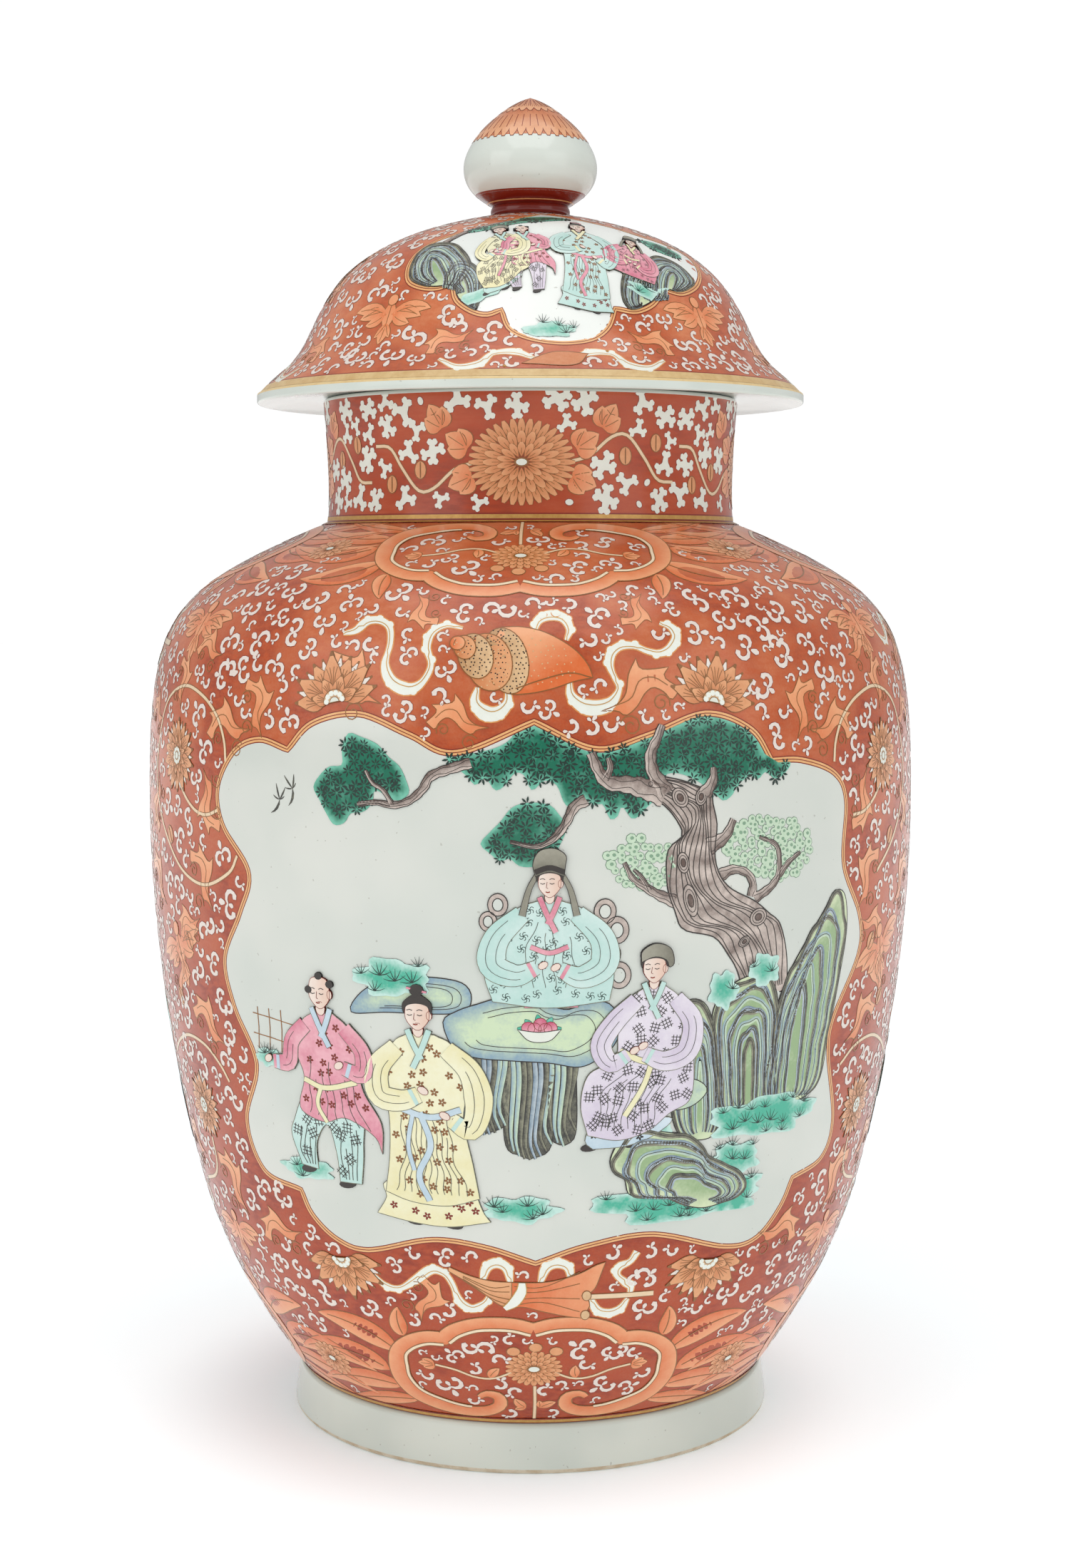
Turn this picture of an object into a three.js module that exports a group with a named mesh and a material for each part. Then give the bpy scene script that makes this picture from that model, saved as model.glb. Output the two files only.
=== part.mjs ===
// Lidded porcelain jar: a tall shouldered body on a turned foot, with a short neck, and a
// domed cover that sits on the mouth, is held central by a collar and lifts off by its knop.
// Millimetres, +Z up. The origin is on the ground at the centre of the foot.
// Every piece is a thrown or turned ring, so each one is a closed outline turned about +Z.
import * as THREE from 'three';

// Foot ring, turned true after throwing and left bare where it stands
const FOOT_HEIGHT = 22.5;
const FOOT_STEP_OUT = 1.8;
const FOOT_FLARE = 1.9;
const FOOT_WALL = 15.2;
const FOOT_EDGE_ROUND = 2.4;

// Base floor, a disc that lies on the foot ring inside the lower body
const FLOOR_THICKNESS = 9;
const FLOOR_SIDE_GAP = 0.3;

// Body, thrown in two halves that are joined at the belly
const WAIST_RADIUS = 110.5;
const WAIST_WALL = 7.2;
const FLANK_RADIUS = 155;
const FLANK_RISE = 83.5;
const BELLY_RADIUS = 180.3;
const BELLY_RISE = 267.5;
const BODY_HEIGHT = 400;
const BODY_WALL = 7;

// Neck, thrown apart and joined on the shoulder
const NECK_WAIST_RADIUS = 95;
const NECK_ROOT_SPREAD = 1;
const MOUTH_SPREAD = 2.4;
const NECK_HEIGHT = 57.5;
const NECK_WALL = 6.5;
const MOUTH_EDGE_ROUND = 1.8;

// Cover: a dome with a flared rim that rests on the mouth
const SEAT_GAP = 0.3;
const RIM_OVERHANG = 31;
const RIM_DROP = 2.8;
const RIM_THICKNESS = 5;
const RIM_EDGE_ROUND = 1.2;
const LEDGE_THICKNESS = 6;
const LEDGE_OVERHANG = 2.5;
const FLARE_WIDTH = 24.8;
const FLARE_RISE = 30;
const DOME_RISE = 84.7;
const CROWN_EDGE = 1.8;
const COVER_WALL = 6;

// Collar under the cover, which hangs in the neck
const COLLAR_DEPTH = 18;
const COLLAR_WALL = 5;
const COLLAR_CLEARANCE = 2;

// Knop: a short stem with a bead, and a hollow bud that is vented through the crown
const STEM_RADIUS = 17.7;
const STEM_BEAD = 0.9;
const STEM_HEIGHT = 4.8;
const BUD_RADIUS = 31.3;
const BUD_BELLY_RISE = 17.7;
const BUD_HEIGHT = 50.2;
const BUD_WALL = 7;
const VENT_RADIUS = 4;

// Handles of the outline curves, as shares of the way out and of the way up
const FLANK_HANDLE_SHARES = [[0.326, 0.222], [0.798, 0.641]];
const BELLY_HANDLE_SHARES = [[0.237, 0.109], [1, 0.538]];
const SHOULDER_HANDLE_SHARES = [[0, 0.7], [0.12, 0.76]];
const NECK_LOWER_HANDLE_SHARES = [[0.6, 0.25], [1, 0.6]];
const NECK_UPPER_HANDLE_SHARES = [[0, 0.35], [0.6, 0.7]];
const NECK_WAIST_SHARE = 0.3;
const FLARE_HANDLE_SHARES = [[0.36, 0.34], [0.69, 0.41]];
const DOME_HANDLE_SHARES = [[0.155, 0.53], [0.352, 0.815]];
const BUD_LOWER_HANDLE_SHARES = [[0.46, 0.21], [1, 0.44]];
const BUD_UPPER_HANDLE_SHARES = [[0, 0.42], [0.65, 0.91]];
const LEDGE_RISE_SHARES = [[0.45, 0.05], [0.9, 0.3]];
const RIM_UNDERSIDE_SHARE = 0.55;

// Counts
const SIDES = 60;
const KNOP_SIDES = 40;
const FLANK_STEPS = 5;
const BELLY_STEPS = 6;
const SHOULDER_STEPS = 9;
const NECK_STEPS = 3;
const FLARE_STEPS = 3;
const DOME_STEPS = 8;
const LEDGE_STEPS = 2;
const BUD_LOWER_STEPS = 3;
const BUD_UPPER_STEPS = 6;
const ROUND_STEPS = 2;

// Heights above the ground, each stacked on the one below
const footTop = FOOT_HEIGHT;
const floorTop = footTop + FLOOR_THICKNESS;
const flankHeight = footTop + FLANK_RISE;
const bellyHeight = footTop + BELLY_RISE;
const neckRoot = footTop + BODY_HEIGHT;
const mouth = neckRoot + NECK_HEIGHT;
const seat = mouth + SEAT_GAP;
const crown = seat + DOME_RISE;
const stemTop = crown + STEM_HEIGHT;
const tip = stemTop + BUD_HEIGHT;

// Radii that follow from a neighbour
const footTopRadius = WAIST_RADIUS + FOOT_STEP_OUT;
const footBottomRadius = footTopRadius + FOOT_FLARE;
const footInnerRadius = footBottomRadius - FOOT_WALL;
const floorPocketRadius = WAIST_RADIUS - WAIST_WALL;
const neckRootRadius = NECK_WAIST_RADIUS + NECK_ROOT_SPREAD;
const mouthRadius = NECK_WAIST_RADIUS + MOUTH_SPREAD;
const neckInnerRadius = NECK_WAIST_RADIUS - NECK_WALL;
const collarRadius = neckInnerRadius - COLLAR_CLEARANCE;
const collarInnerRadius = collarRadius - COLLAR_WALL;
const rimRadius = mouthRadius + RIM_OVERHANG;
const flareRadius = rimRadius - FLARE_WIDTH;
const crownRadius = STEM_RADIUS + CROWN_EDGE;

// Finishes
const finish = (color, roughness) => new THREE.MeshStandardMaterial({ color, roughness, metalness: 0 });
const coralGround = () => finish(0xb9532f, 0.28);
const whiteGlaze = () => finish(0xe3e8e2, 0.16);
const ironRed = () => finish(0x6d1d10, 0.24);
const biscuit = () => finish(0xd3c6a8, 0.8);

const point = (radius, height) => new THREE.Vector2(radius, height);

// A cubic curve between two outline points, with its handles at shares of the way out and up
function bend(start, end, handleShares, steps) {
  const handles = handleShares.map(([outShare, upShare]) => point(
    THREE.MathUtils.lerp(start.x, end.x, outShare),
    THREE.MathUtils.lerp(start.y, end.y, upShare),
  ));
  return new THREE.CubicBezierCurve(start, ...handles, end).getPoints(steps);
}

// Curves that follow one another as one line, without the points they share
function joined(...curves) {
  return curves.flatMap((curve, index) => (index === 0 ? curve : curve.slice(1)));
}

// The line that lies a wall's thickness to the left of a line that runs up the outside
function inset(line, wall) {
  return line.map((here, index) => {
    const before = line[Math.max(index - 1, 0)];
    const after = line[Math.min(index + 1, line.length - 1)];
    const along = after.clone().sub(before).normalize();
    return point(here.x - wall * along.y, here.y + wall * along.x);
  });
}

// A quarter round from one angle to another, in turns, about a centre
function quarterRound(centre, radius, startTurn, endTurn) {
  const steps = Array.from({ length: ROUND_STEPS + 1 }, (_, step) => step / ROUND_STEPS);
  return steps.map((share) => {
    const angle = 2 * Math.PI * THREE.MathUtils.lerp(startTurn, endTurn, share);
    return point(centre.x + radius * Math.cos(angle), centre.y + radius * Math.sin(angle));
  });
}

// A named piece turned from an outline that runs anticlockwise and closes on itself
function turned(name, outline, material, sides = SIDES) {
  const closed = outline[0].x === 0 ? outline : [...outline, outline[0].clone()];
  const geometry = new THREE.LatheGeometry(closed, sides);
  geometry.rotateX(Math.PI / 2);
  const mesh = new THREE.Mesh(geometry, material);
  mesh.name = name;
  return mesh;
}

function footRing() {
  const bottomCentre = point(footBottomRadius - FOOT_EDGE_ROUND, FOOT_EDGE_ROUND);
  const topCentre = point(footTopRadius - FOOT_EDGE_ROUND, footTop - FOOT_EDGE_ROUND);
  const innerCentre = point(footInnerRadius + FOOT_EDGE_ROUND, FOOT_EDGE_ROUND);
  const outline = [
    ...quarterRound(bottomCentre, FOOT_EDGE_ROUND, -0.25, 0),
    ...quarterRound(topCentre, FOOT_EDGE_ROUND, 0, 0.25),
    point(footInnerRadius, footTop),
    ...quarterRound(innerCentre, FOOT_EDGE_ROUND, -0.5, -0.25),
  ];
  return turned('foot_ring', outline, whiteGlaze());
}

function baseFloor() {
  const radius = floorPocketRadius - FLOOR_SIDE_GAP;
  const outline = [
    point(0, footTop),
    point(radius, footTop),
    point(radius, floorTop),
    point(0, floorTop),
  ];
  return turned('base_floor', outline, whiteGlaze());
}

function lowerBody() {
  const waist = point(WAIST_RADIUS, footTop);
  const flank = point(FLANK_RADIUS, flankHeight);
  const belly = point(BELLY_RADIUS, bellyHeight);
  const outside = joined(
    bend(waist, flank, FLANK_HANDLE_SHARES, FLANK_STEPS),
    bend(flank, belly, BELLY_HANDLE_SHARES, BELLY_STEPS),
  );
  const inside = inset(outside, BODY_WALL).filter((here) => here.y > floorTop && here.y < bellyHeight);
  const outline = [
    point(floorPocketRadius, footTop),
    ...outside,
    point(BELLY_RADIUS - BODY_WALL, bellyHeight),
    ...inside.reverse(),
    point(floorPocketRadius, floorTop),
  ];
  return turned('lower_body', outline, coralGround());
}

function upperBody() {
  const belly = point(BELLY_RADIUS, bellyHeight);
  const root = point(neckRootRadius, neckRoot);
  const outside = bend(belly, root, SHOULDER_HANDLE_SHARES, SHOULDER_STEPS);
  const rootInnerRadius = neckRootRadius - NECK_WALL;
  const inside = inset(outside, BODY_WALL).filter(
    (here) => here.x > rootInnerRadius && here.y > bellyHeight,
  );
  const outline = [
    point(BELLY_RADIUS - BODY_WALL, bellyHeight),
    ...outside,
    point(rootInnerRadius, neckRoot),
    point(rootInnerRadius, inside.at(-1).y),
    ...inside.reverse(),
  ];
  return turned('upper_body', outline, coralGround());
}

function neck() {
  const root = point(neckRootRadius, neckRoot);
  const waist = point(NECK_WAIST_RADIUS, neckRoot + NECK_HEIGHT * NECK_WAIST_SHARE);
  const lip = point(mouthRadius, mouth - MOUTH_EDGE_ROUND);
  const outside = joined(
    bend(root, waist, NECK_LOWER_HANDLE_SHARES, NECK_STEPS),
    bend(waist, lip, NECK_UPPER_HANDLE_SHARES, NECK_STEPS),
  );
  const inside = outside.map((here) => point(here.x - NECK_WALL, here.y));
  const outerRound = point(mouthRadius - MOUTH_EDGE_ROUND, lip.y);
  const innerRound = point(mouthRadius - NECK_WALL + MOUTH_EDGE_ROUND, lip.y);
  const outline = [
    ...outside,
    ...quarterRound(outerRound, MOUTH_EDGE_ROUND, 0, 0.25).slice(1),
    ...quarterRound(innerRound, MOUTH_EDGE_ROUND, 0.25, 0.5),
    ...inside.reverse().slice(1),
  ];
  return turned('neck', outline, coralGround());
}

function coverDome() {
  const rimBottom = seat - RIM_DROP;
  const rimTop = rimBottom + RIM_THICKNESS;
  const lowerRound = point(rimRadius - RIM_EDGE_ROUND, rimBottom + RIM_EDGE_ROUND);
  const upperRound = point(rimRadius - RIM_EDGE_ROUND, rimTop - RIM_EDGE_ROUND);
  const flareStart = point(upperRound.x, rimTop);
  const flareEnd = point(flareRadius, seat + FLARE_RISE);
  const crownEdge = point(crownRadius, crown);
  const dome = bend(flareEnd, crownEdge, DOME_HANDLE_SHARES, DOME_STEPS);
  const outside = joined(bend(flareStart, flareEnd, FLARE_HANDLE_SHARES, FLARE_STEPS), dome);
  const ledgeRadius = collarInnerRadius + LEDGE_OVERHANG;
  const inside = inset(dome, COVER_WALL).filter((here) => here.y < crown - COVER_WALL);
  const ledgeCorner = point(ledgeRadius, seat + LEDGE_THICKNESS);
  const ledge = bend(ledgeCorner, inside[0], LEDGE_RISE_SHARES, LEDGE_STEPS);
  const undersideRadius = THREE.MathUtils.lerp(mouthRadius, rimRadius, 1 - RIM_UNDERSIDE_SHARE);
  const outline = [
    point(ledgeRadius, seat),
    point(undersideRadius, seat),
    ...quarterRound(lowerRound, RIM_EDGE_ROUND, -0.25, 0),
    ...quarterRound(upperRound, RIM_EDGE_ROUND, 0, 0.25).slice(0, -1),
    ...outside,
    point(VENT_RADIUS, crown),
    point(VENT_RADIUS, crown - COVER_WALL),
    ...inside.reverse(),
    ...ledge.slice(0, -1).reverse(),
  ];
  return turned('cover_dome', outline, coralGround());
}

function coverCollar() {
  const bottom = seat - COLLAR_DEPTH;
  const outline = [
    point(collarInnerRadius, bottom),
    point(collarRadius, bottom),
    point(collarRadius, seat),
    point(collarInnerRadius, seat),
  ];
  return turned('cover_collar', outline, biscuit());
}

function knopStem() {
  const outline = [
    point(VENT_RADIUS, crown),
    point(STEM_RADIUS, crown),
    point(STEM_RADIUS + STEM_BEAD, crown + STEM_HEIGHT / 2),
    point(STEM_RADIUS, stemTop),
    point(VENT_RADIUS, stemTop),
  ];
  return turned('knop_stem', outline, ironRed(), KNOP_SIDES);
}

function knopBud() {
  const foot = point(STEM_RADIUS, stemTop);
  const belly = point(BUD_RADIUS, stemTop + BUD_BELLY_RISE);
  const lower = bend(foot, belly, BUD_LOWER_HANDLE_SHARES, BUD_LOWER_STEPS);
  const upper = bend(belly, point(0, tip), BUD_UPPER_HANDLE_SHARES, BUD_UPPER_STEPS);
  const hollowBelly = point(BUD_RADIUS - BUD_WALL, belly.y);
  const hollowFoot = point(VENT_RADIUS, stemTop + BUD_WALL);
  const hollow = joined(
    bend(hollowFoot, hollowBelly, BUD_LOWER_HANDLE_SHARES, BUD_LOWER_STEPS),
    bend(hollowBelly, point(0, tip - BUD_WALL), BUD_UPPER_HANDLE_SHARES, BUD_UPPER_STEPS),
  );
  const outline = [
    ...hollow.reverse(),
    point(VENT_RADIUS, stemTop),
    ...joined(lower, upper),
  ];
  return turned('knop_bud', outline, whiteGlaze(), KNOP_SIDES);
}

const jar = new THREE.Group();
jar.add(footRing(), baseFloor(), lowerBody(), upperBody(), neck());

const cover = new THREE.Group();
cover.add(coverDome(), coverCollar(), knopStem(), knopBud());

const potiche = new THREE.Group();
potiche.add(jar, cover);

export default potiche;
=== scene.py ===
"""The looks of a tall lidded porcelain jar: coral enamel ground, white scrolls and painted panels.

Every painted shape is drawn flat, in millimetres, and then laid on the turned face that carries
it: x runs round the jar and y runs up its outline. Angles are in degrees from the front.
"""

import logging
import math
from dataclasses import dataclass, field
from enum import Enum
from typing import Callable, Sequence

import bmesh
import bpy
import numpy as np
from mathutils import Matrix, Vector, kdtree
from mathutils.geometry import delaunay_2d_cdt


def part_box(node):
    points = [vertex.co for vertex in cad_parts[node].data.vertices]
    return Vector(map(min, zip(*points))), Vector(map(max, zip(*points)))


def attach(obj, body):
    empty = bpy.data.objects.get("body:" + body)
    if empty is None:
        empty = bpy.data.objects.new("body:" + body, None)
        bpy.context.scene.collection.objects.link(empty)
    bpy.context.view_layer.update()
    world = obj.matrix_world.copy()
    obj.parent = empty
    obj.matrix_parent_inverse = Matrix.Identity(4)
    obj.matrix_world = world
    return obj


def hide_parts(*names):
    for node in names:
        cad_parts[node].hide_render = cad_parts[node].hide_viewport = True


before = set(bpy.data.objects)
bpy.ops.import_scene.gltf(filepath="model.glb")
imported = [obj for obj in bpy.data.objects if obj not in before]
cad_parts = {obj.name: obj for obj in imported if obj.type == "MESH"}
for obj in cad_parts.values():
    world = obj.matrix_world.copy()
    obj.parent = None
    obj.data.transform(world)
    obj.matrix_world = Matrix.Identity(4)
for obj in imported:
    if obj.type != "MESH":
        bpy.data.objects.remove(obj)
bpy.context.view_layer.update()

Array = np.ndarray
Point = tuple[float, float]
Points = Sequence[Point]
Colour = tuple[float, float, float]

MM = 0.001
LOG = logging.getLogger("jar")
# The angle between two faces past which their edge is sharp.
SHARP_ANGLE = math.radians(35)
# The faces that one piece of paint may have.
MOST_FACES = 170000
# The places that a scatter draws, and the size of the cells in which it notes what is taken.
CANDIDATES = 60000
CELL = 0.7
# The rise of a row of sown points, as a share of their spacing.
ROW_RISE = 0.87
# The least width of a leaf.
THINNEST = 0.12


def colour(code: str) -> Colour:
    """Gives the linear colour of a six-digit screen colour.

    Args:
        code: Two hexadecimal digits each for red, green and blue.

    Returns:
        Red, green and blue as the shader needs them.
    """
    screen = np.array([int(code[i:i + 2], 16) for i in (0, 2, 4)]) / 255
    linear = np.where(screen <= 0.04045, screen / 12.92, ((screen + 0.055) / 1.055) ** 2.4)
    return tuple(float(v) for v in linear)


class Value:
    """A socket of a shader tree that can be used in plain arithmetic."""

    def __init__(self, shader: "Shader", socket: bpy.types.NodeSocket) -> None:
        """Keeps the tree's helper and the socket."""
        self.shader = shader
        self.socket = socket

    def math(self, operation: str, *others: "Value | float") -> "Value":
        """Adds a Math node on this value and the others.

        Args:
            operation: The Math node's operation.
            others: The values after this one.

        Returns:
            The node's result.
        """
        sockets = dict(enumerate((self, *others)))
        return self.shader.node("ShaderNodeMath", {"operation": operation}, sockets)

    def __add__(self, other: "Value | float") -> "Value":
        """Gives self + other."""
        return self.math("ADD", other)

    __radd__ = __add__

    def __sub__(self, other: "Value | float") -> "Value":
        """Gives self - other."""
        return self.math("SUBTRACT", other)

    def __rsub__(self, other: float) -> "Value":
        """Gives other - self."""
        return self.shader.number(other).math("SUBTRACT", self)

    def __mul__(self, other: "Value | float") -> "Value":
        """Gives self * other."""
        return self.math("MULTIPLY", other)

    __rmul__ = __mul__

    def held(self, most: float = 1.0) -> "Value":
        """Keeps the value between 0 and most."""
        return self.math("MAXIMUM", 0.0).math("MINIMUM", most)

    def step(self, low: float, high: float) -> "Value":
        """Rises smoothly from 0 at low to 1 at high.

        Args:
            low: Where the result leaves 0.
            high: Where it reaches 1.

        Returns:
            The smooth step.
        """
        settings = {"interpolation_type": "SMOOTHSTEP"}
        return self.shader.node("ShaderNodeMapRange", settings, {0: self, 1: low, 2: high})


class Shader:
    """Builds one material's node tree."""

    def __init__(self, name: str) -> None:
        """Makes an empty material with a glossy surface shader.

        Args:
            name: The material's name.
        """
        self.material = bpy.data.materials.new(name)
        self.material.use_nodes = True
        self.tree = self.material.node_tree
        self.surface = self.tree.nodes["Principled BSDF"]

    def node(self, kind: str, settings: dict, sockets: dict, output: int = 0) -> Value:
        """Adds one node.

        Args:
            kind: The node's type.
            settings: Its own properties, set first.
            sockets: Values or links, by socket name or number.
            output: Which of its outputs to return.

        Returns:
            That output.
        """
        made = self.tree.nodes.new(kind)
        for key, setting in settings.items():
            setattr(made, key, setting)
        for key, value in sockets.items():
            self.link(made.inputs[key], value)
        return Value(self, made.outputs[output])

    def link(self, socket: bpy.types.NodeSocket, value: "Value | float | Colour") -> None:
        """Links a value to a socket, or sets a number or colour on it.

        Args:
            socket: The socket.
            value: A value, a number or a colour.
        """
        if isinstance(value, Value):
            self.tree.links.new(socket, value.socket)
        elif isinstance(value, tuple) and len(socket.default_value) == 4:
            socket.default_value = (*value, 1.0)
        else:
            socket.default_value = value

    def number(self, value: float) -> Value:
        """Gives a fixed number as a value."""
        return self.node("ShaderNodeMath", {"operation": "ADD"}, {0: value, 1: 0.0})

    def mix(self, low: "Value | Colour", high: "Value | Colour", share: "Value | float") -> Value:
        """Mixes two colours.

        Args:
            low: The colour at share 0.
            high: The colour at share 1.
            share: How much of high shows.

        Returns:
            The mixed colour.
        """
        settings = {"data_type": "RGBA"}
        return self.node("ShaderNodeMix", settings, {0: share, 6: low, 7: high}, output=2)

    def place(self, stretch: Colour = (1.0, 1.0, 1.0)) -> Value:
        """Gives the place on the piece in metres, stretched along each axis."""
        here = self.node("ShaderNodeTexCoord", {}, {}, output=3)
        return self.node("ShaderNodeMapping", {"vector_type": "POINT"}, {"Vector": here, "Scale": stretch})

    def noise(self, size: float, detail: float = 3.0, stretch: Colour = (1.0, 1.0, 1.0)) -> Value:
        """Gives soft noise from 0 to 1.

        Args:
            size: The width of a blotch, in millimetres.
            detail: How many finer layers it has.
            stretch: How often it repeats along each axis, against the others.

        Returns:
            The noise.
        """
        sockets = {"Vector": self.place(stretch), "Scale": 1 / (size * MM), "Detail": detail}
        return self.node("ShaderNodeTexNoise", {}, sockets)

    def attribute(self, name: str) -> Value:
        """Gives a value that is stored on the mesh's points."""
        return self.node("ShaderNodeAttribute", {"attribute_name": name}, {}, output=2)

    def bump(self, height: Value, depth: float) -> Value:
        """Turns a height from 0 to 1 into a bent normal.

        Args:
            height: The relief.
            depth: What a height of 1 stands for, in millimetres.

        Returns:
            The normal.
        """
        return self.node("ShaderNodeBump", {}, {"Height": height, "Distance": depth * MM, "Strength": 1.0})

    def set(self, **sockets: "Value | float | Colour") -> bpy.types.Material:
        """Sets the surface shader's sockets, with _ for a space in their names, and ends the material."""
        for name, value in sockets.items():
            self.link(self.surface.inputs[name.replace("_", " ")], value)
        return self.material


@dataclass(frozen=True)
class Glaze:
    """Fired glaze over white porcelain, glassy, with faint pooling and a few pinholes."""

    name: str
    thin: Colour
    pooled: Colour
    roughness: float = 0.09

    def material(self) -> bpy.types.Material:
        """Builds the glaze's material."""
        shader = Shader(self.name)
        pool = shader.noise(60, 2).step(0.3, 0.7)
        tone = shader.mix(self.thin, self.pooled, pool)
        pinhole = shader.noise(1.6, 0).step(0.83, 0.86)
        tone = shader.mix(tone, colour("8F8A7C"), pinhole * 0.4)
        skin = shader.noise(9, 1) * 0.6 + shader.noise(1.6, 1) * 0.06
        return shader.set(
            Base_Color=tone,
            Roughness=self.roughness + 0.05 * shader.noise(14, 2),
            Normal=shader.bump(skin, 0.05),
            IOR=1.5,
        )


@dataclass(frozen=True)
class Enamel:
    """Painted enamel on the glaze, which runs from a light tone to a deep one with the wash."""

    name: str
    light: Colour
    deep: Colour
    roughness: float = 0.16
    mottle: float = 0.35
    grain: float = 4.0
    metal: float = 0.0

    def material(self) -> bpy.types.Material:
        """Builds the enamel's material."""
        shader = Shader(self.name)
        cloud = shader.noise(self.grain, 3) - 0.5
        speck = shader.noise(self.grain * 0.2, 2) - 0.5
        wash = shader.attribute("wash") + self.mottle * (1.6 * cloud + 0.8 * speck)
        tone = shader.mix(self.light, self.deep, wash.held())
        return shader.set(
            Base_Color=tone,
            Roughness=self.roughness + 0.1 * shader.noise(self.grain, 2),
            Normal=shader.bump(shader.noise(self.grain * 0.4, 2), 0.03),
            Metallic=self.metal,
            IOR=1.5,
        )


@dataclass(frozen=True)
class BrushedGround:
    """Coral iron-red enamel laid on in short overlapping strokes, thin over the white glaze, with painted
    light and shade by height.
    """

    name: str
    thin: Colour
    middle: Colour
    deep: Colour
    stretch: Colour = (1.0, 1.0, 1.0)

    def material(self) -> bpy.types.Material:
        """Builds the ground's material: clouds, brush strokes and a fine stipple, made paler towards the top
        by painted light and deeper towards the bottom by painted shade.
        """
        shader = Shader(self.name)
        # high rises from 0 at 60 mm to 1 at 560 mm above the floor; it carries painted light and shade, not
        # the enamel's own colour.
        high = shader.node("ShaderNodeSeparateXYZ", {}, {0: shader.place()}, output=2).step(0.06, 0.56)
        cloud = shader.noise(34, 2, self.stretch).step(0.36, 0.64)
        x, y, z = self.stretch
        stroke = shader.noise(5, 3, (x, y, z * 2.2)).step(0.3, 0.7)
        stipple = shader.noise(0.9, 2)
        # The deep share grows towards the bottom: painted shade.
        base = shader.mix(self.middle, self.deep,
                          0.55 * stroke * cloud + 0.45 * (stipple - 0.25) + 0.3 * (1 - high))
        # The share of the pale thin colour below is patchy thin enamel from the clouds and strokes, plus
        # painted light that grows with height.
        thin_enamel_and_painted_light = (1 - cloud) * (0.35 + 0.35 * stroke) + 0.3 * high
        bare = (0.08 + 0.7 * high) * thin_enamel_and_painted_light + (stipple - 0.5) * 0.4
        tone = shader.mix(base, self.thin, bare.held(0.85))
        relief = stroke * 0.5 + stipple * 0.3
        return shader.set(
            Base_Color=tone,
            Roughness=0.15 + 0.12 * stroke,
            Normal=shader.bump(relief, 0.03),
            IOR=1.5,
        )


@dataclass(frozen=True)
class Biscuit:
    """Bare fired porcelain, matt and a little stained."""

    name: str
    clean: Colour
    stained: Colour

    def material(self) -> bpy.types.Material:
        """Builds the bare body's material."""
        shader = Shader(self.name)
        stain = shader.noise(6, 4).step(0.42, 0.68)
        grit = shader.noise(0.7, 2)
        tone = shader.mix(self.clean, self.stained, 0.7 * stain + 0.3 * grit)
        return shader.set(Base_Color=tone, Roughness=0.75 + 0.2 * grit, Normal=shader.bump(grit, 0.12))


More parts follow.
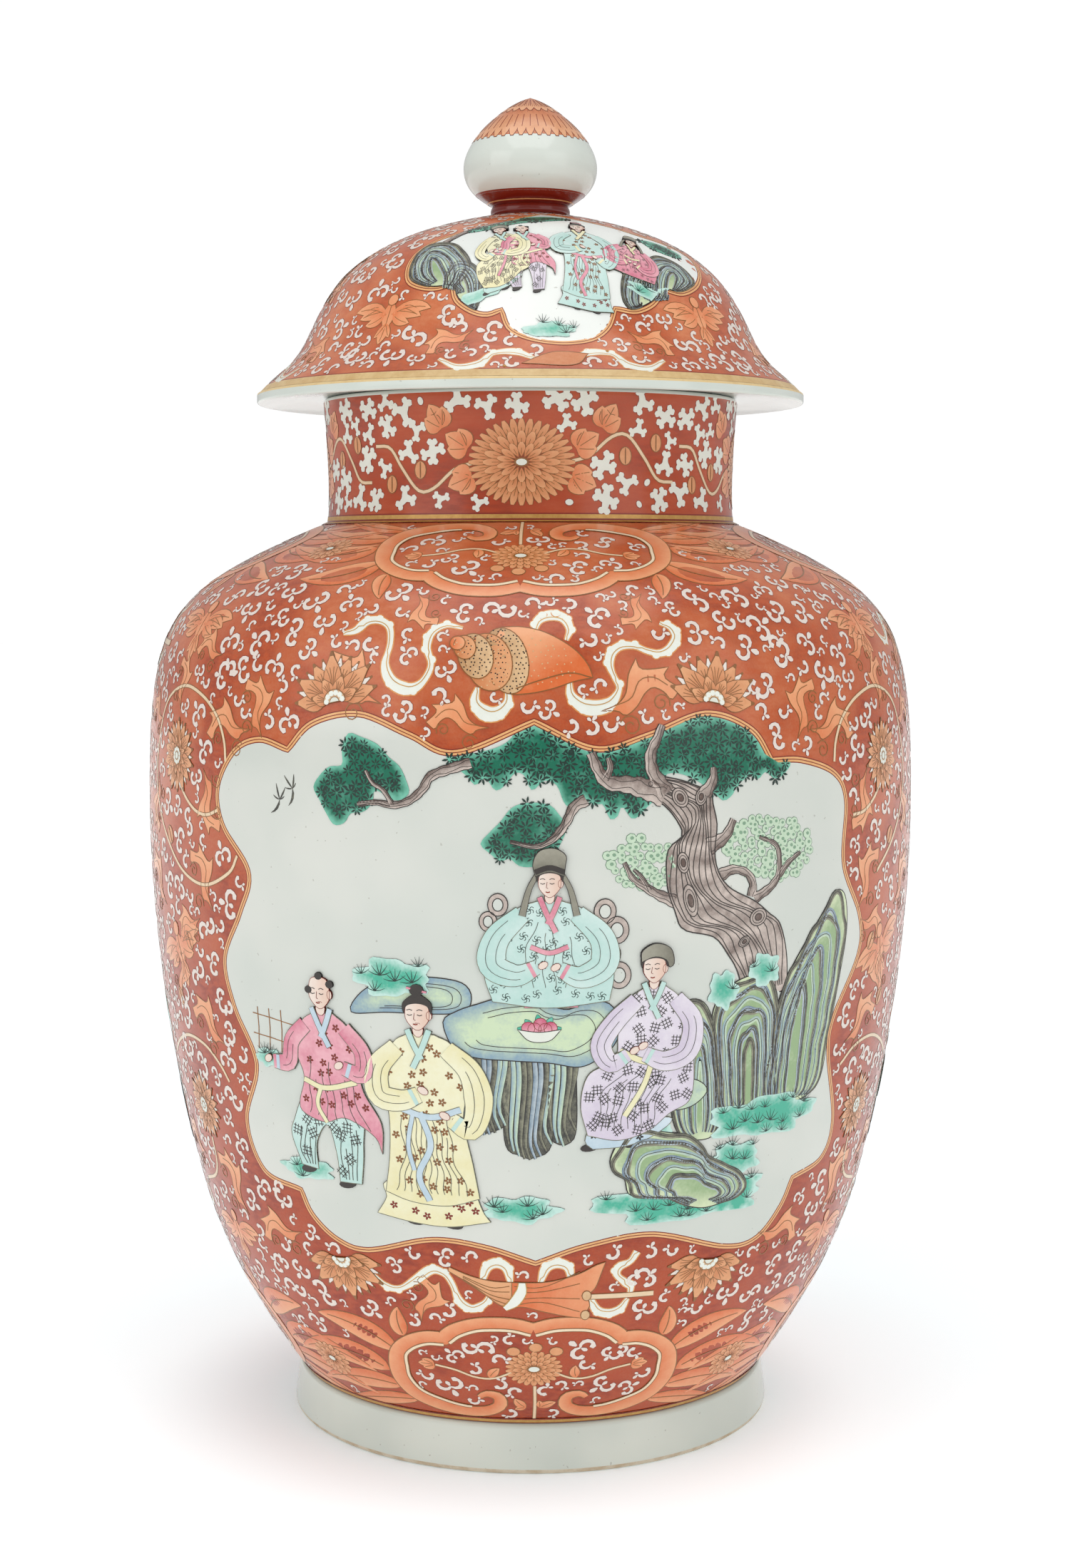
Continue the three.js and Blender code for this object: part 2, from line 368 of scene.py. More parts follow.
class Finish(Enum):
    """The finishes of the shells and the pigments of the painting."""

    WHITE = Glaze("white_glaze", colour("D8DDD5"), colour("CED5CD"))
    FOOT = Glaze("foot_glaze", colour("DCE0D5"), colour("CFD5CB"))
    RESERVE = Glaze("reserve_glaze", colour("DADBD3"), colour("D0D4CC"), 0.1)
    # The cover panels' white is a lighter copy of the panel glaze: painted light on the upward-facing cover.
    LIT_COVER_RESERVE = Glaze("cover_reserve_glaze", colour("F4F6F1"), colour("EAEEE9"), 0.1)
    GROUND = BrushedGround("coral_ground", colour("DB8C60"), colour("C04F20"), colour("8C2502"))
    NECK_GROUND = BrushedGround(
        "neck_ground", colour("C25C35"), colour("B23F18"), colour("782003"), (0.7, 0.7, 1.2)
    )
    BUD_RED = Enamel("bud_iron_red", colour("7A1F12"), colour("4A0B06"), 0.1, 0.3, 8.0)
    BARE = Biscuit("bare_biscuit", colour("D9CDB8"), colour("C0AA8C"))
    SCROLL = Enamel("scroll_white", colour("EAE1D8"), colour("DCC7BA"), 0.14, 0.5, 3.0)
    SCROLL_EDGE = Enamel("scroll_edge", colour("9A4A38"), colour("7A3020"), 0.18, 0.4)
    LEAF = Enamel("leaf_orange", colour("EFAA7C"), colour("DB6C36"), 0.16, 0.3, 5.0)
    PETAL = Enamel("petal_ochre", colour("E6A878"), colour("C7733F"), 0.17, 0.35, 3.0)
    SHELL_BAND = Enamel("shell_band", colour("E2BE92"), colour("B98A5C"), 0.18, 0.5, 3.0)
    BROWN_LINE = Enamel("brown_line", colour("9C6A38"), colour("7A4A22"), 0.2, 0.4)
    RED_LINE = Enamel("red_line", colour("93301C"), colour("6E1B0E"), 0.18, 0.3)
    CREAM = Enamel("cream_stem", colour("F0DDBE"), colour("DDB385"), 0.16, 0.3)
    RIBBON = Enamel("ribbon_white", colour("ECEEE4"), colour("D6DACA"), 0.14, 0.2)
    GOLD = Enamel("worn_gold", colour("D9AC62"), colour("A87428"), 0.3, 0.6, 3.0, 0.25)
    RIM_GOLD = Enamel("rim_gold", colour("E2C690"), colour("B98C4C"), 0.3, 0.7, 9.0)
    BORDER = Enamel("border_gold", colour("F0BE86"), colour("DB9350"), 0.18, 0.4, 6.0)
    PETAL_CORAL = Enamel("knop_petal", colour("E4AA80"), colour("BC6438"), 0.14, 0.3, 4.0)
    INK = Enamel("ink_line", colour("3A312C"), colour("1E1917"), 0.2, 0.3)
    PINE = Enamel("pine_teal", colour("74BFA6"), colour("086A50"), 0.14, 0.8, 9.0)
    NEEDLE = Enamel("needle_dark", colour("1E3F35"), colour("142822"), 0.16, 0.3)
    GRASS = Enamel("grass_turquoise", colour("C4E4DA"), colour("48B296"), 0.14, 0.7, 7.0)
    GRASS_DARK = Enamel("leaf_rim_green", colour("86A68A"), colour("688C70"), 0.16, 0.3)
    PALE_GREEN = Enamel("leaf_pale_green", colour("CADDC4"), colour("AECBAA"), 0.14, 0.5, 6.0)
    BARK = Enamel("bark_brown", colour("D2C2B8"), colour("5E4A42"), 0.18, 0.5, 3.0)
    ROCK_BLUE = Enamel("rock_blue", colour("C2CDD2"), colour("6A8093"), 0.14, 0.7, 6.0)
    ROCK_GREEN = Enamel("rock_green", colour("D4DFB8"), colour("97B183"), 0.14, 0.7, 7.0)
    ROCK_DARK = Enamel("rock_dark", colour("9A9880"), colour("3E3D38"), 0.16, 0.8, 4.0)
    SLAB = Enamel("rock_slab", colour("CFE0BC"), colour("8AA5B5"), 0.14, 0.6, 6.0)
    PINK = Enamel("robe_pink", colour("EDB0BA"), colour("C74E72"), 0.13, 0.6, 8.0)
    AQUA = Enamel("robe_aqua", colour("CFE5DF"), colour("A6D2C8"), 0.13, 0.5, 8.0)
    YELLOW = Enamel("robe_yellow", colour("F1EDCC"), colour("E6DA9C"), 0.13, 0.5, 8.0)
    LAVENDER = Enamel("robe_lavender", colour("E6DEE7"), colour("C8B8D0"), 0.13, 0.5, 8.0)
    PALE_BLUE = Enamel("robe_pale_blue", colour("D3E0E8"), colour("A3BFD0"), 0.13, 0.5, 8.0)
    SKIN = Enamel("skin_pale", colour("F0E0D4"), colour("E5C3B0"), 0.14, 0.2, 6.0)
    GREY_CLOTH = Enamel("cap_grey", colour("A09C8C"), colour("6E6A5C"), 0.16, 0.4)


BROWN = Finish.BROWN_LINE
INK = Finish.INK
CHARCOAL = Finish.ROCK_DARK


def arc_lengths(line: Array) -> Array:
    """Gives the distance along a line from its start to each of its points."""
    return np.r_[0.0, np.cumsum(np.hypot(*np.diff(line, axis=0).T))]


def leftward(path: Array) -> Array:
    """Gives the unit direction to the left of a path at each of its points."""
    along = np.gradient(path, axis=0)
    return np.c_[-along[:, 1], along[:, 0]] / np.linalg.norm(along, axis=1, keepdims=True)


@dataclass
class Outside:
    """The outer face of a turned wall, from its lower edge to its upper edge, in millimetres."""

    line: Array

    def __post_init__(self) -> None:
        """Works out the arc length and the outward direction along the outline."""
        self.radius, self.height = self.line.T
        self.arc = arc_lengths(self.line)
        slope = np.gradient(self.line, self.arc, axis=0)
        slope /= np.linalg.norm(slope, axis=1, keepdims=True)
        self.outward = np.c_[slope[:, 1], -slope[:, 0]]

    def arc_at(self, height: float | Array) -> float | Array:
        """Gives the arc length at a height."""
        return np.interp(height, self.height, self.arc)

    def radius_at(self, arc: Array) -> Array:
        """Gives the radius at an arc length."""
        return np.interp(arc, self.arc, self.radius)

    def place(self, angle: Array, arc: Array, lift: Array) -> tuple[Array, Array]:
        """Puts points on the face: the outline's point, moved outwards by the lift and turned.

        Args:
            angle: Angles from the front, in radians.
            arc: Arc lengths along the outline.
            lift: Distances out from the face.

        Returns:
            The points and the outward directions, three numbers each.
        """
        out = np.interp(arc, self.arc, self.outward[:, 0])
        up = np.interp(arc, self.arc, self.outward[:, 1])
        radius = self.radius_at(arc) + lift * out
        height = np.interp(arc, self.arc, self.height) + lift * up
        sine, cosine = np.sin(angle), -np.cos(angle)
        points = np.stack([radius * sine, radius * cosine, height], axis=-1)
        normals = np.stack([out * sine, out * cosine, up], axis=-1)
        return points, normals


def bend(start: Point, end: Point, shares: Points, steps: int) -> Array:
    """Draws a cubic curve whose handles lie at shares of the way out and of the way up.

    Args:
        start: Radius and height where it starts.
        end: Radius and height where it ends.
        shares: The shares of the two handles.
        steps: The number of steps along the curve's own parameter.

    Returns:
        The curve's points.
    """
    a, d = np.array(start, float), np.array(end, float)
    b, c = a + np.array(shares) * (d - a)
    t = np.linspace(0, 1, steps + 1)[:, None]
    return (1 - t) ** 3 * a + 3 * (1 - t) ** 2 * t * b + 3 * (1 - t) * t ** 2 * c + t ** 3 * d


def joined(*lines: Array) -> Array:
    """Joins outlines end to end without doubling the points that they share."""
    return np.vstack([lines[0], *(line[1:] for line in lines[1:])])


def quarter_round(centre: Point, radius: float, turns: tuple[float, float], steps: int = 6) -> Array:
    """Draws an arc about a centre, from one share of a full turn to another.

    Args:
        centre: Radius and height of the arc's centre.
        radius: The arc's radius.
        turns: Where it starts and ends, in full turns.
        steps: The number of steps.

    Returns:
        The arc's points.
    """
    angle = 2 * np.pi * np.linspace(*turns, steps + 1)
    return np.array(centre) + radius * np.c_[np.cos(angle), np.sin(angle)]


def inset(line: Array, wall: float) -> Array:
    """Gives the line that lies a wall's thickness inside a line that runs up the outside."""
    return line + wall * leftward(line)


def spaced(line: Array, step: float) -> Array:
    """Spaces a line's points evenly, about a step apart, and keeps its ends."""
    arc = arc_lengths(line)
    even = np.linspace(0, arc[-1], max(2, round(arc[-1] / step) + 1))
    return np.c_[np.interp(even, arc, line[:, 0]), np.interp(even, arc, line[:, 1])]


def picked(line: Array, count: int) -> Array:
    """Picks a number of a line's points, spread evenly over it."""
    return line[np.linspace(0, len(line) - 1, count).round().astype(int)]


def smooth(points: Points, closed: bool = False, step: float = 2.0) -> Array:
    """Draws a smooth line through points, with a sharp corner at each point that is given twice.

    Between two points it is the cubic that leaves and reaches each one parallel to the chord of
    its neighbours. A closed line with corners starts at one of them.

    Args:
        points: What the line goes through.
        closed: Whether it returns to its first point, which isn't repeated at the end.
        step: About how far apart the points of the line are.

    Returns:
        The line's points.
    """
    given = np.array(points, float)
    same = np.abs(np.diff(given, axis=0)).sum(axis=1) == 0
    loop = closed and not same.any()
    if closed:
        given = np.vstack([given, given[:1]])[int(same[0]):]
    doubled = np.flatnonzero(np.abs(np.diff(given, axis=0)).sum(axis=1) == 0)
    runs = np.split(given, doubled + 1)
    drawn = []
    for run in runs:
        before = run[-2] if loop else 2 * run[0] - run[1]
        after = run[1] if loop else 2 * run[-1] - run[-2]
        p = np.vstack([before, run, after])
        t = np.linspace(0, 1, 9)[:-1, None, None]
        a, b, c, d = p[:-3], p[1:-2], p[2:-1], p[3:]
        curve = b + 0.5 * t * (c - a + t * (2 * a - 5 * b + 4 * c - d + t * (3 * b - a - 3 * c + d)))
        dense = np.vstack([curve.transpose(1, 0, 2).reshape(-1, 2), run[-1:]])
        drawn.append(spaced(dense, step))
    line = np.vstack([run[:-1] for run in drawn] + [drawn[-1][-1:]])
    return line[:-1] if closed else line


def inside(points: Array, outline: Array) -> Array:
    """Tells which points lie inside a closed outline, by counting the edges to their right.

    Args:
        points: Flat points.
        outline: The closed outline.

    Returns:
        True for each point inside.
    """
    x, y = points[:, 0, None], points[:, 1, None]
    ax, ay = outline.T
    bx, by = np.roll(outline, -1, axis=0).T
    spans = (ay > y) != (by > y)
    rise = np.where(by == ay, 1e-9, by - ay)
    return (spans & (x < ax + (y - ay) * (bx - ax) / rise)).sum(axis=1) % 2 == 1


def clearance(points: Array, outline: Array) -> Array:
    """Gives each point's distance to the nearest corner of an outline."""
    return np.sqrt(((points[:, None] - outline[None]) ** 2).sum(axis=2)).min(axis=1)


def sown(outline: Array, spacing: float, margin: float, seed: int, jitter: float = 0.3) -> Array:
    """Sows points inside an outline, on a staggered grid that is shaken a little.

    Args:
        outline: The closed outline.
        spacing: How far apart the points are.
        margin: How far they stay from the outline.
        seed: The seed of the shaking.
        jitter: The largest move, as a share of the spacing.

    Returns:
        The points.
    """
    random = np.random.default_rng(seed)
    low, high = outline.min(axis=0), outline.max(axis=0)
    x, y = np.meshgrid(
        np.arange(low[0], high[0] + spacing, spacing), np.arange(low[1], high[1], spacing * ROW_RISE)
    )
    x = x + (np.arange(len(x)) % 2)[:, None] * spacing / 2
    grid = np.c_[x.ravel(), y.ravel()]
    grid += random.uniform(-jitter, jitter, grid.shape) * spacing
    grid = grid[inside(grid, outline)]
    return grid[clearance(grid, outline) > margin] if len(grid) else grid


@dataclass
class Patch:
    """A flat painted shape: its points, which of them are on top, its wash and its triangles."""

    points: Array
    top: Array
    wash: Array
    faces: Array


def grid_faces(rows: int, columns: int) -> Array:
    """Gives the triangles of a grid of points, row by row, that faces the viewer.

    Args:
        rows: The number of rows.
        columns: The number of points in a row.

    Returns:
        The triangles.
    """
    i, j = np.meshgrid(np.arange(rows - 1), np.arange(columns - 1), indexing="ij")
    a = (i * columns + j).ravel()
    b, c, d = a + 1, a + columns + 1, a + columns
    return np.vstack([np.c_[a, b, c], np.c_[a, c, d]])


def brushed(
    path: Array, width: Array | float, wash: Array | float | tuple = 0.0, closed: bool = False,
    sunk: bool = True
) -> Patch:
    """Carries a flat section along a path: the path's points, moved to both sides by half the width.

    Args:
        path: The path's points.
        width: The stroke's width at each point.
        wash: The wash at each point, or a pair for its left and right sides.
        closed: Whether the path returns to its first point.
        sunk: Whether the edges go down into the glaze, so that the stroke is closed on it.

    Returns:
        The stroke.
    """
    if closed:
        around = np.vstack([path[-1:], path, path[:2]])
        along = around[2:] - around[:-2]
        path = around[1:-1]
    else:
        along = np.gradient(path, axis=0)
    along = along / np.maximum(np.linalg.norm(along, axis=1, keepdims=True), 1e-9)
    left = np.c_[-along[:, 1], along[:, 0]] * (np.resize(width, len(path)) / 2)[:, None]
    sides = np.array([1, 1, -1, -1] if sunk else [1, -1])
    points = path[:, None] + left[:, None] * sides[None, :, None]
    columns = len(sides)
    faces = grid_faces(len(path), columns)
    if sunk and not closed:
        last = columns * (len(path) - 1)
        caps = np.array([[0, 2, 1], [0, 3, 2], [last, last + 1, last + 2], [last, last + 2, last + 3]])
        faces = np.vstack([faces, caps])
    top = np.tile([0.0, 1.0, 1.0, 0.0] if sunk else [1.0, 1.0], len(path))
    if isinstance(wash, tuple):
        tone = np.tile(np.repeat(wash, columns // 2), len(path))
    else:
        tone = np.repeat(np.resize(wash, len(path)), columns)
    return Patch(points.reshape(-1, 2), top, tone, faces)


def merged(patches: Sequence[Patch]) -> Patch:
    """Joins flat shapes into one.

    Args:
        patches: The shapes.

    Returns:
        The shape that holds them all.
    """
    starts = np.cumsum([0, *(len(p.points) for p in patches[:-1])])
    return Patch(
        np.vstack([p.points for p in patches]),
        np.concatenate([p.top for p in patches]),
        np.concatenate([p.wash for p in patches]),
        np.vstack([p.faces + start for p, start in zip(patches, starts)]),
    )


def filled(outline: Array, wash: "Callable[[Array], Array] | float" = 0.0, spacing: float = 6.0) -> Patch:
    """Fills a closed outline with triangles and takes its edge down into the glaze.

    Args:
        outline: The closed outline.
        wash: The wash, or what gives it for an array of points.
        spacing: How far apart the points are that keep a wide shape on its curved face.

    Returns:
        The filled shape.
    """
    x, y = outline.T
    spacing = spacing if np.ptp(outline, axis=0).max() > 9 else 0.0
    if (x * np.roll(y, -1) - np.roll(x, -1) * y).sum() < 0:
        outline = outline[::-1]
    count = len(outline)
    within = sown(outline, spacing, spacing * 0.55, 1, 0.05) if spacing else np.zeros((0, 2))
    given = np.vstack([outline, within])
    corners = [Vector(p) for p in given]
    edges = [(i, (i + 1) % count) for i in range(count)]
    points, _, faces, *_ = delaunay_2d_cdt(corners, edges, [], 1, 1e-6)
    top = np.array([tuple(p) for p in points])
    flat = np.array([f for f in faces if len(f) == 3]).reshape(-1, 3)
    start = len(top)
    ring = start + np.arange(count)
    after = start + (np.arange(count) + 1) % count
    skirt = np.vstack([np.c_[ring, ring + count, after + count], np.c_[ring, after + count, after]])
    everything = np.vstack([top, outline, outline])
    level = np.r_[np.ones(start + count), np.zeros(count)]
    tone = wash(everything) if callable(wash) else np.full(len(everything), float(wash))
    return Patch(everything, level, tone, np.vstack([flat, skirt]))


def turned_by(turn: float, size: float = 1.0, mirror: bool = False) -> Array:
    """Gives the matrix that mirrors, scales and turns flat points, anticlockwise in degrees."""
    a = math.radians(turn)
    matrix = size * np.array([[math.cos(a), -math.sin(a)], [math.sin(a), math.cos(a)]])
    return matrix @ np.diag([-1.0 if mirror else 1.0, 1.0])


def placed(path: Array, turn: float, x: float = 0.0, y: float = 0.0, size: float = 1.0,
           mirror: bool = False) -> Array:
    """Mirrors, scales and turns flat points, and then moves them."""
    return path @ turned_by(turn, size, mirror).T + [x, y]


class Lay(Enum):
    """How a flat drawing meets its face: rolled round the wall, or flat over the crown."""

    ROLLED = "rolled"
    CROWN = "crown"


@dataclass(frozen=True)
class Chart:
    """A flat drawing board on a turned face, with its middle at an angle and an arc length."""

    face: Outside
    angle: float
    arc: float
    matrix: Array = field(default_factory=lambda: np.eye(2))
    lay_on: Lay = Lay.ROLLED
    origin: Point = (0.0, 0.0)

    def lay(
        self, points: Array, angles: Array | float = 0.0, arcs: Array | float = 0.0
    ) -> tuple[Array, Array]:
        """Lays flat points: rolled, x is divided by the radius there, and over the crown the points
        keep their direction and distance from the axis.

        Args:
            points: Flat points.
            angles: Extra angles in degrees.
            arcs: Extra arc lengths.

        Returns:
            Angles in radians and arc lengths.
        """
        x, y = np.moveaxis(points @ self.matrix.T + np.array(self.origin), -1, 0)
        angle = np.radians(self.angle + angles)
        if self.lay_on is Lay.ROLLED:
            arc = self.arc + arcs + y
            return angle + x / self.face.radius_at(arc), arc
        crown = self.face.arc[-1] + self.face.radius[-1]
        out = crown - self.arc - y
        return angle + np.arctan2(x, out), crown - np.hypot(x, out)

    def local(self, places: Points) -> Array:
        """Turns angles in degrees and heights into flat points of this board.

        Args:
            places: Angles from the board's own angle, and heights above the ground.

        Returns:
            The flat points.
        """
        angle, height = np.array(places, float).T
        arc = self.face.arc_at(height)
        if self.lay_on is Lay.ROLLED:
            return np.c_[np.radians(angle) * self.face.radius_at(arc), arc - self.arc]
        crown = self.face.arc[-1] + self.face.radius[-1]
        out = crown - arc
        return np.c_[out * np.sin(np.radians(angle)), crown - self.arc - out * np.cos(np.radians(angle))]

    def at(
        self, x: float, y: float, turn: float = 0.0, size: float = 1.0, mirror: bool = False,
        squash: float = 1.0
    ) -> "Chart":
        """Gives a smaller board whose middle is a point of this one, turned, scaled or mirrored.

        Args:
            x: How far right of this board's middle.
            y: How far above it.
            turn: The turn, anticlockwise in degrees.
            size: The scale.
            mirror: Whether left and right are swapped.
            squash: The scale of the height alone.

        Returns:
            The board.
        """
        matrix = self.matrix @ turned_by(turn, size, mirror) @ np.diag([1.0, squash])
        if self.lay_on is Lay.CROWN:
            origin = tuple(np.array(self.origin) + self.matrix @ np.array([x, y]))
            return Chart(self.face, self.angle, self.arc, matrix, self.lay_on, origin)
        angle, arc = self.lay(np.array([x, y], float))
        return Chart(self.face, math.degrees(float(angle)), float(arc), matrix)


@dataclass
class Piece:
    """A finished mesh on its way into the scene."""

    name: str
    points: Array
    faces: Array
    body: str
    slot: str
    stands_for: tuple[str, ...] = ()

    def make(
        self,
        materials: Sequence[bpy.types.Material],
        material_of_face: Array | None = None,
        normals: Array | None = None,
        wash: Array | None = None,
    ) -> bpy.types.Object:
        """Puts the mesh into the scene and on its body.

        Args:
            materials: The piece's materials.
            material_of_face: Which of them each face has.
            normals: The direction that each point faces, or none for a mesh that is smooth up to
                its sharp edges.
            wash: The wash at each point.

        Returns:
            The object.
        """
        mesh = bpy.data.meshes.new(self.name)
        mesh.vertices.add(len(self.points))
        mesh.vertices.foreach_set("co", (self.points * MM).astype(np.float32).ravel())
        sides = self.faces.shape[1]
        mesh.loops.add(self.faces.size)
        mesh.loops.foreach_set("vertex_index", self.faces.astype(np.int32).ravel())
        mesh.polygons.add(len(self.faces))
        mesh.polygons.foreach_set("loop_start", np.arange(0, self.faces.size, sides, dtype=np.int32))
        if material_of_face is not None:
            mesh.polygons.foreach_set("material_index", material_of_face.astype(np.int32))
        mesh.update(calc_edges=True)
        mesh.shade_smooth()
        if normals is None:
            mesh.set_sharp_from_angle(angle=SHARP_ANGLE)
        else:
            mesh.normals_split_custom_set_from_vertices(normals.tolist())
        if wash is not None:
            tone = mesh.attributes.new("wash", "FLOAT", "POINT")
            tone.data.foreach_set("value", wash.astype(np.float32))
        for material in materials:
            mesh.materials.append(material)
        made = bpy.data.objects.new(self.name, mesh)
        bpy.context.scene.collection.objects.link(made)
        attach(made, self.body)
        if self.stands_for:
            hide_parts(*self.stands_for)
        LOG.info("%s: %d faces on %s", self.name, len(self.faces), self.body)
        return made


# The pigments from the ink on are those of the gardens, which lie on the white panels.
GARDEN_PIGMENTS = list(Finish)[list(Finish).index(Finish.INK):]
SLOT_OF_FINISH = dict.fromkeys(GARDEN_PIGMENTS, "white_glaze") | {
    Finish.WHITE: "white_glaze",
    Finish.RESERVE: "white_glaze",
    Finish.LIT_COVER_RESERVE: "white_glaze",
    Finish.BUD_RED: "iron_red",
    Finish.BARE: "bare_biscuit",
}


class Materials:
    """Makes each finish's material once."""

    made: dict[Finish, bpy.types.Material] = {}

    @classmethod
    def of(cls, finish: Finish) -> bpy.types.Material:
        """Gives the material of a finish."""
        if finish not in cls.made:
            cls.made[finish] = finish.value.material()
        return cls.made[finish]


class Painting:
    """The painted shapes on one turned face, gathered by pigment into one piece each."""

    first_lift: float = 0.07
    layer_lift: float = 0.035
    sunk_lift: float = -0.03

    def __init__(self, face: Outside, body: str, prefix: str) -> None:
        """Starts with a bare face.

        Args:
            face: The face.
            body: The body that it is part of.
            prefix: What its pieces' names start with.
        """
        self.face = face
        self.body = body
        self.prefix = prefix
        self.parts: dict[Finish, list[tuple[Array, Array, Array, Array]]] = {}
        self.taken: list[Array] = []

    def add(
        self,
        patch: Patch,
        chart: Chart,
        pigment: Finish,
        layer: int,
        spots: "Spots | None" = None,
        blocks: bool = True,
    ) -> None:
        """Lays a shape on the face, once or at many spots.

        Args:
            patch: The flat shape.
            chart: The board that it is drawn on.
            pigment: What it is painted with.
            layer: How many layers lie under it.
            spots: Where its copies go, or none for a single one at the board's origin.
            blocks: Whether scattered motifs keep clear of it.
        """
        lift = np.where(patch.top > 0, self.first_lift + layer * self.layer_lift, self.sunk_lift)
        if spots is None:
            angle, arc = chart.lay(patch.points)
            flips = np.array([np.linalg.det(chart.matrix) < 0])
            copies = 1
        else:
            turned = np.einsum("nij,vj->nvi", spots.matrices, patch.points)
            angle, arc = chart.lay(turned + spots.offsets[:, None], spots.angles[:, None],
                                   spots.arcs[:, None])
            flips = np.linalg.det(spots.matrices) * np.linalg.det(chart.matrix) < 0
            copies = len(spots.angles)
        points, normals = self.face.place(angle, arc, np.broadcast_to(lift, angle.shape))
        order = np.where(flips[:, None], [[0, 2, 1]], [[0, 1, 2]])
        faces = patch.faces[None].repeat(copies, axis=0)
        faces = np.take_along_axis(faces, order[:, None, :].repeat(len(patch.faces), axis=1), axis=2)
        faces = faces + (np.arange(copies) * len(patch.points))[:, None, None]
        points = points.reshape(-1, 3)
        self.parts.setdefault(pigment, []).append(
            (points, normals.reshape(-1, 3), faces.reshape(-1, 3), np.tile(patch.wash, copies))
        )
        if blocks:
            self.taken += [points, points[faces.reshape(-1, 3)].mean(axis=1)]

    def hand(self, angle: float, height: float, layer: int = 0, blocks: bool = True,
             lay_on: Lay = Lay.ROLLED) -> "Brush":
        """Gives a hand that draws at an angle and a height above the ground."""
        board = Chart(self.face, angle, float(self.face.arc_at(height)), lay_on=lay_on)
        return Brush(self, board, layer, blocks)

    def hoop(self, arc: float, width: float, pigment: Finish, layer: int) -> None:
        """Draws a line right round at an arc length, in twelve strokes that run a little into each other.

        Args:
            arc: The arc length.
            width: The line's width.
            pigment: What it is painted with.
            layer: Its layer.
        """
        strokes = 12
        half = 1.02 * np.pi * float(self.face.radius_at(np.array(arc))) / strokes
        path = np.c_[np.linspace(-half, half, 21), np.zeros(21)]
        for angle in range(0, 360, 360 // strokes):
            self.add(brushed(path, width, 0.4), Chart(self.face, angle, arc), pigment, layer)

    def keep_clear(self, chart: Chart, outline: Array) -> None:
        """Keeps scattered motifs out of an outline."""
        angle, arc = chart.lay(sown(outline, 2.6, 0.0, 1))
        self.taken.append(self.face.place(angle, arc, 0 * arc)[0])

    def finish(self) -> None:
        """Makes one piece for each pigment, or two where one would have too many faces."""
        for pigment, parts in self.parts.items():
            total = np.cumsum([len(p[2]) for p in parts])
            half = int(np.searchsorted(total, total[-1] / 2)) + 1 if total[-1] > MOST_FACES else len(parts)
            for number, some in enumerate((parts[:half], parts[half:])):
                if some:
                    self.gather(pigment, some, "_more" if number else "")

    def gather(self, pigment: Finish, parts: list[tuple[Array, Array, Array, Array]], ending: str) -> None:
        """Joins shapes of one pigment into a piece.

        Args:
            pigment: The pigment.
            parts: Each shape's points, normals, triangles and wash.
            ending: What the piece's name ends with.
        """
        starts = np.cumsum([0, *(len(p[0]) for p in parts[:-1])])
        points, normals = (np.vstack([p[i] for p in parts]) for i in (0, 1))
        faces = np.vstack([p[2] + start for p, start in zip(parts, starts)])
        wash = np.concatenate([p[3] for p in parts])
        slot = SLOT_OF_FINISH.get(pigment, "coral_ground")
        piece = Piece(f"{self.prefix}_{pigment.name.lower()}{ending}", points, faces, self.body, slot)
        piece.make([Materials.of(pigment)], normals=normals, wash=wash)


@dataclass
class Spots:
    """Where the copies of a small shape go on a board."""

    angles: Array
    arcs: Array
    offsets: Array
    matrices: Array

    @staticmethod
    def on_board(points: Array, turns: Array | float = 0.0, sizes: Array | float = 1.0) -> "Spots":
        """Puts copies at flat points of the board, with their own turns in degrees and sizes."""
        zero = np.zeros(len(points))
        return Spots(zero, zero, points, Spots.matrices_of(len(points), turns, sizes))

    @staticmethod
    def matrices_of(count: int, turns: Array | float, sizes: Array | float,
                    mirrors: Array | bool = False) -> Array:
        """Gives each copy's matrix: mirrored, scaled, then turned.

        Args:
            count: The number of copies.
            turns: Their turns in degrees.
            sizes: Their sizes.
            mirrors: Which of them are mirrored.

        Returns:
            A matrix for each copy.
        """
        turn = np.radians(np.broadcast_to(turns, count))
        size = np.broadcast_to(sizes, count)
        flip = np.where(np.broadcast_to(mirrors, count), -1.0, 1.0)
        cosine, sine = size * np.cos(turn), size * np.sin(turn)
        rows = [np.stack([cosine * flip, -sine], axis=1), np.stack([sine * flip, cosine], axis=1)]
        return np.stack(rows, axis=1)


def taper(path: Array, *widths: float) -> Array:
    """Spreads a few widths evenly along a path and blends between them."""
    arc = arc_lengths(path)
    return np.interp(arc / arc[-1], np.linspace(0, 1, len(widths)), widths)


def bent(length: float, curl: float = 0.0, steps: int = 8, start: Point = (0.0, 0.0)) -> Array:
    """Draws a stem that leaves straight up and turns evenly to the right by curl degrees in all.

    Args:
        length: The stem's length.
        curl: How far it turns in all.
        steps: The number of steps.
        start: Where it starts.

    Returns:
        The stem's points.
    """
    heading = np.radians(curl) * np.linspace(0, 1, steps)
    run = np.c_[np.sin(heading), np.cos(heading)] * length / steps
    return np.array(start) + np.vstack([[0.0, 0.0], np.cumsum(run, axis=0)])


def leaf_width(count: int, width: float, fullest: float = 0.45, point: float = 0.8) -> Array:
    """Gives the widths of a pointed leaf: a power of a sine over its length, fullest at a share of it."""
    t = np.linspace(0, 1, count)
    return np.maximum(width * np.sin(np.pi * t ** (math.log(0.5) / math.log(fullest))) ** point, THINNEST)


def ellipse(x: float, y: float, wide: float, high: float, turn: float = 0.0, steps: int = 20) -> Array:
    """Draws an ellipse about a point, with its half width and half height, turned in degrees."""
    angle = np.linspace(0, 2 * np.pi, steps, endpoint=False)
    return placed(np.c_[wide * np.cos(angle), high * np.sin(angle)], turn, x, y)


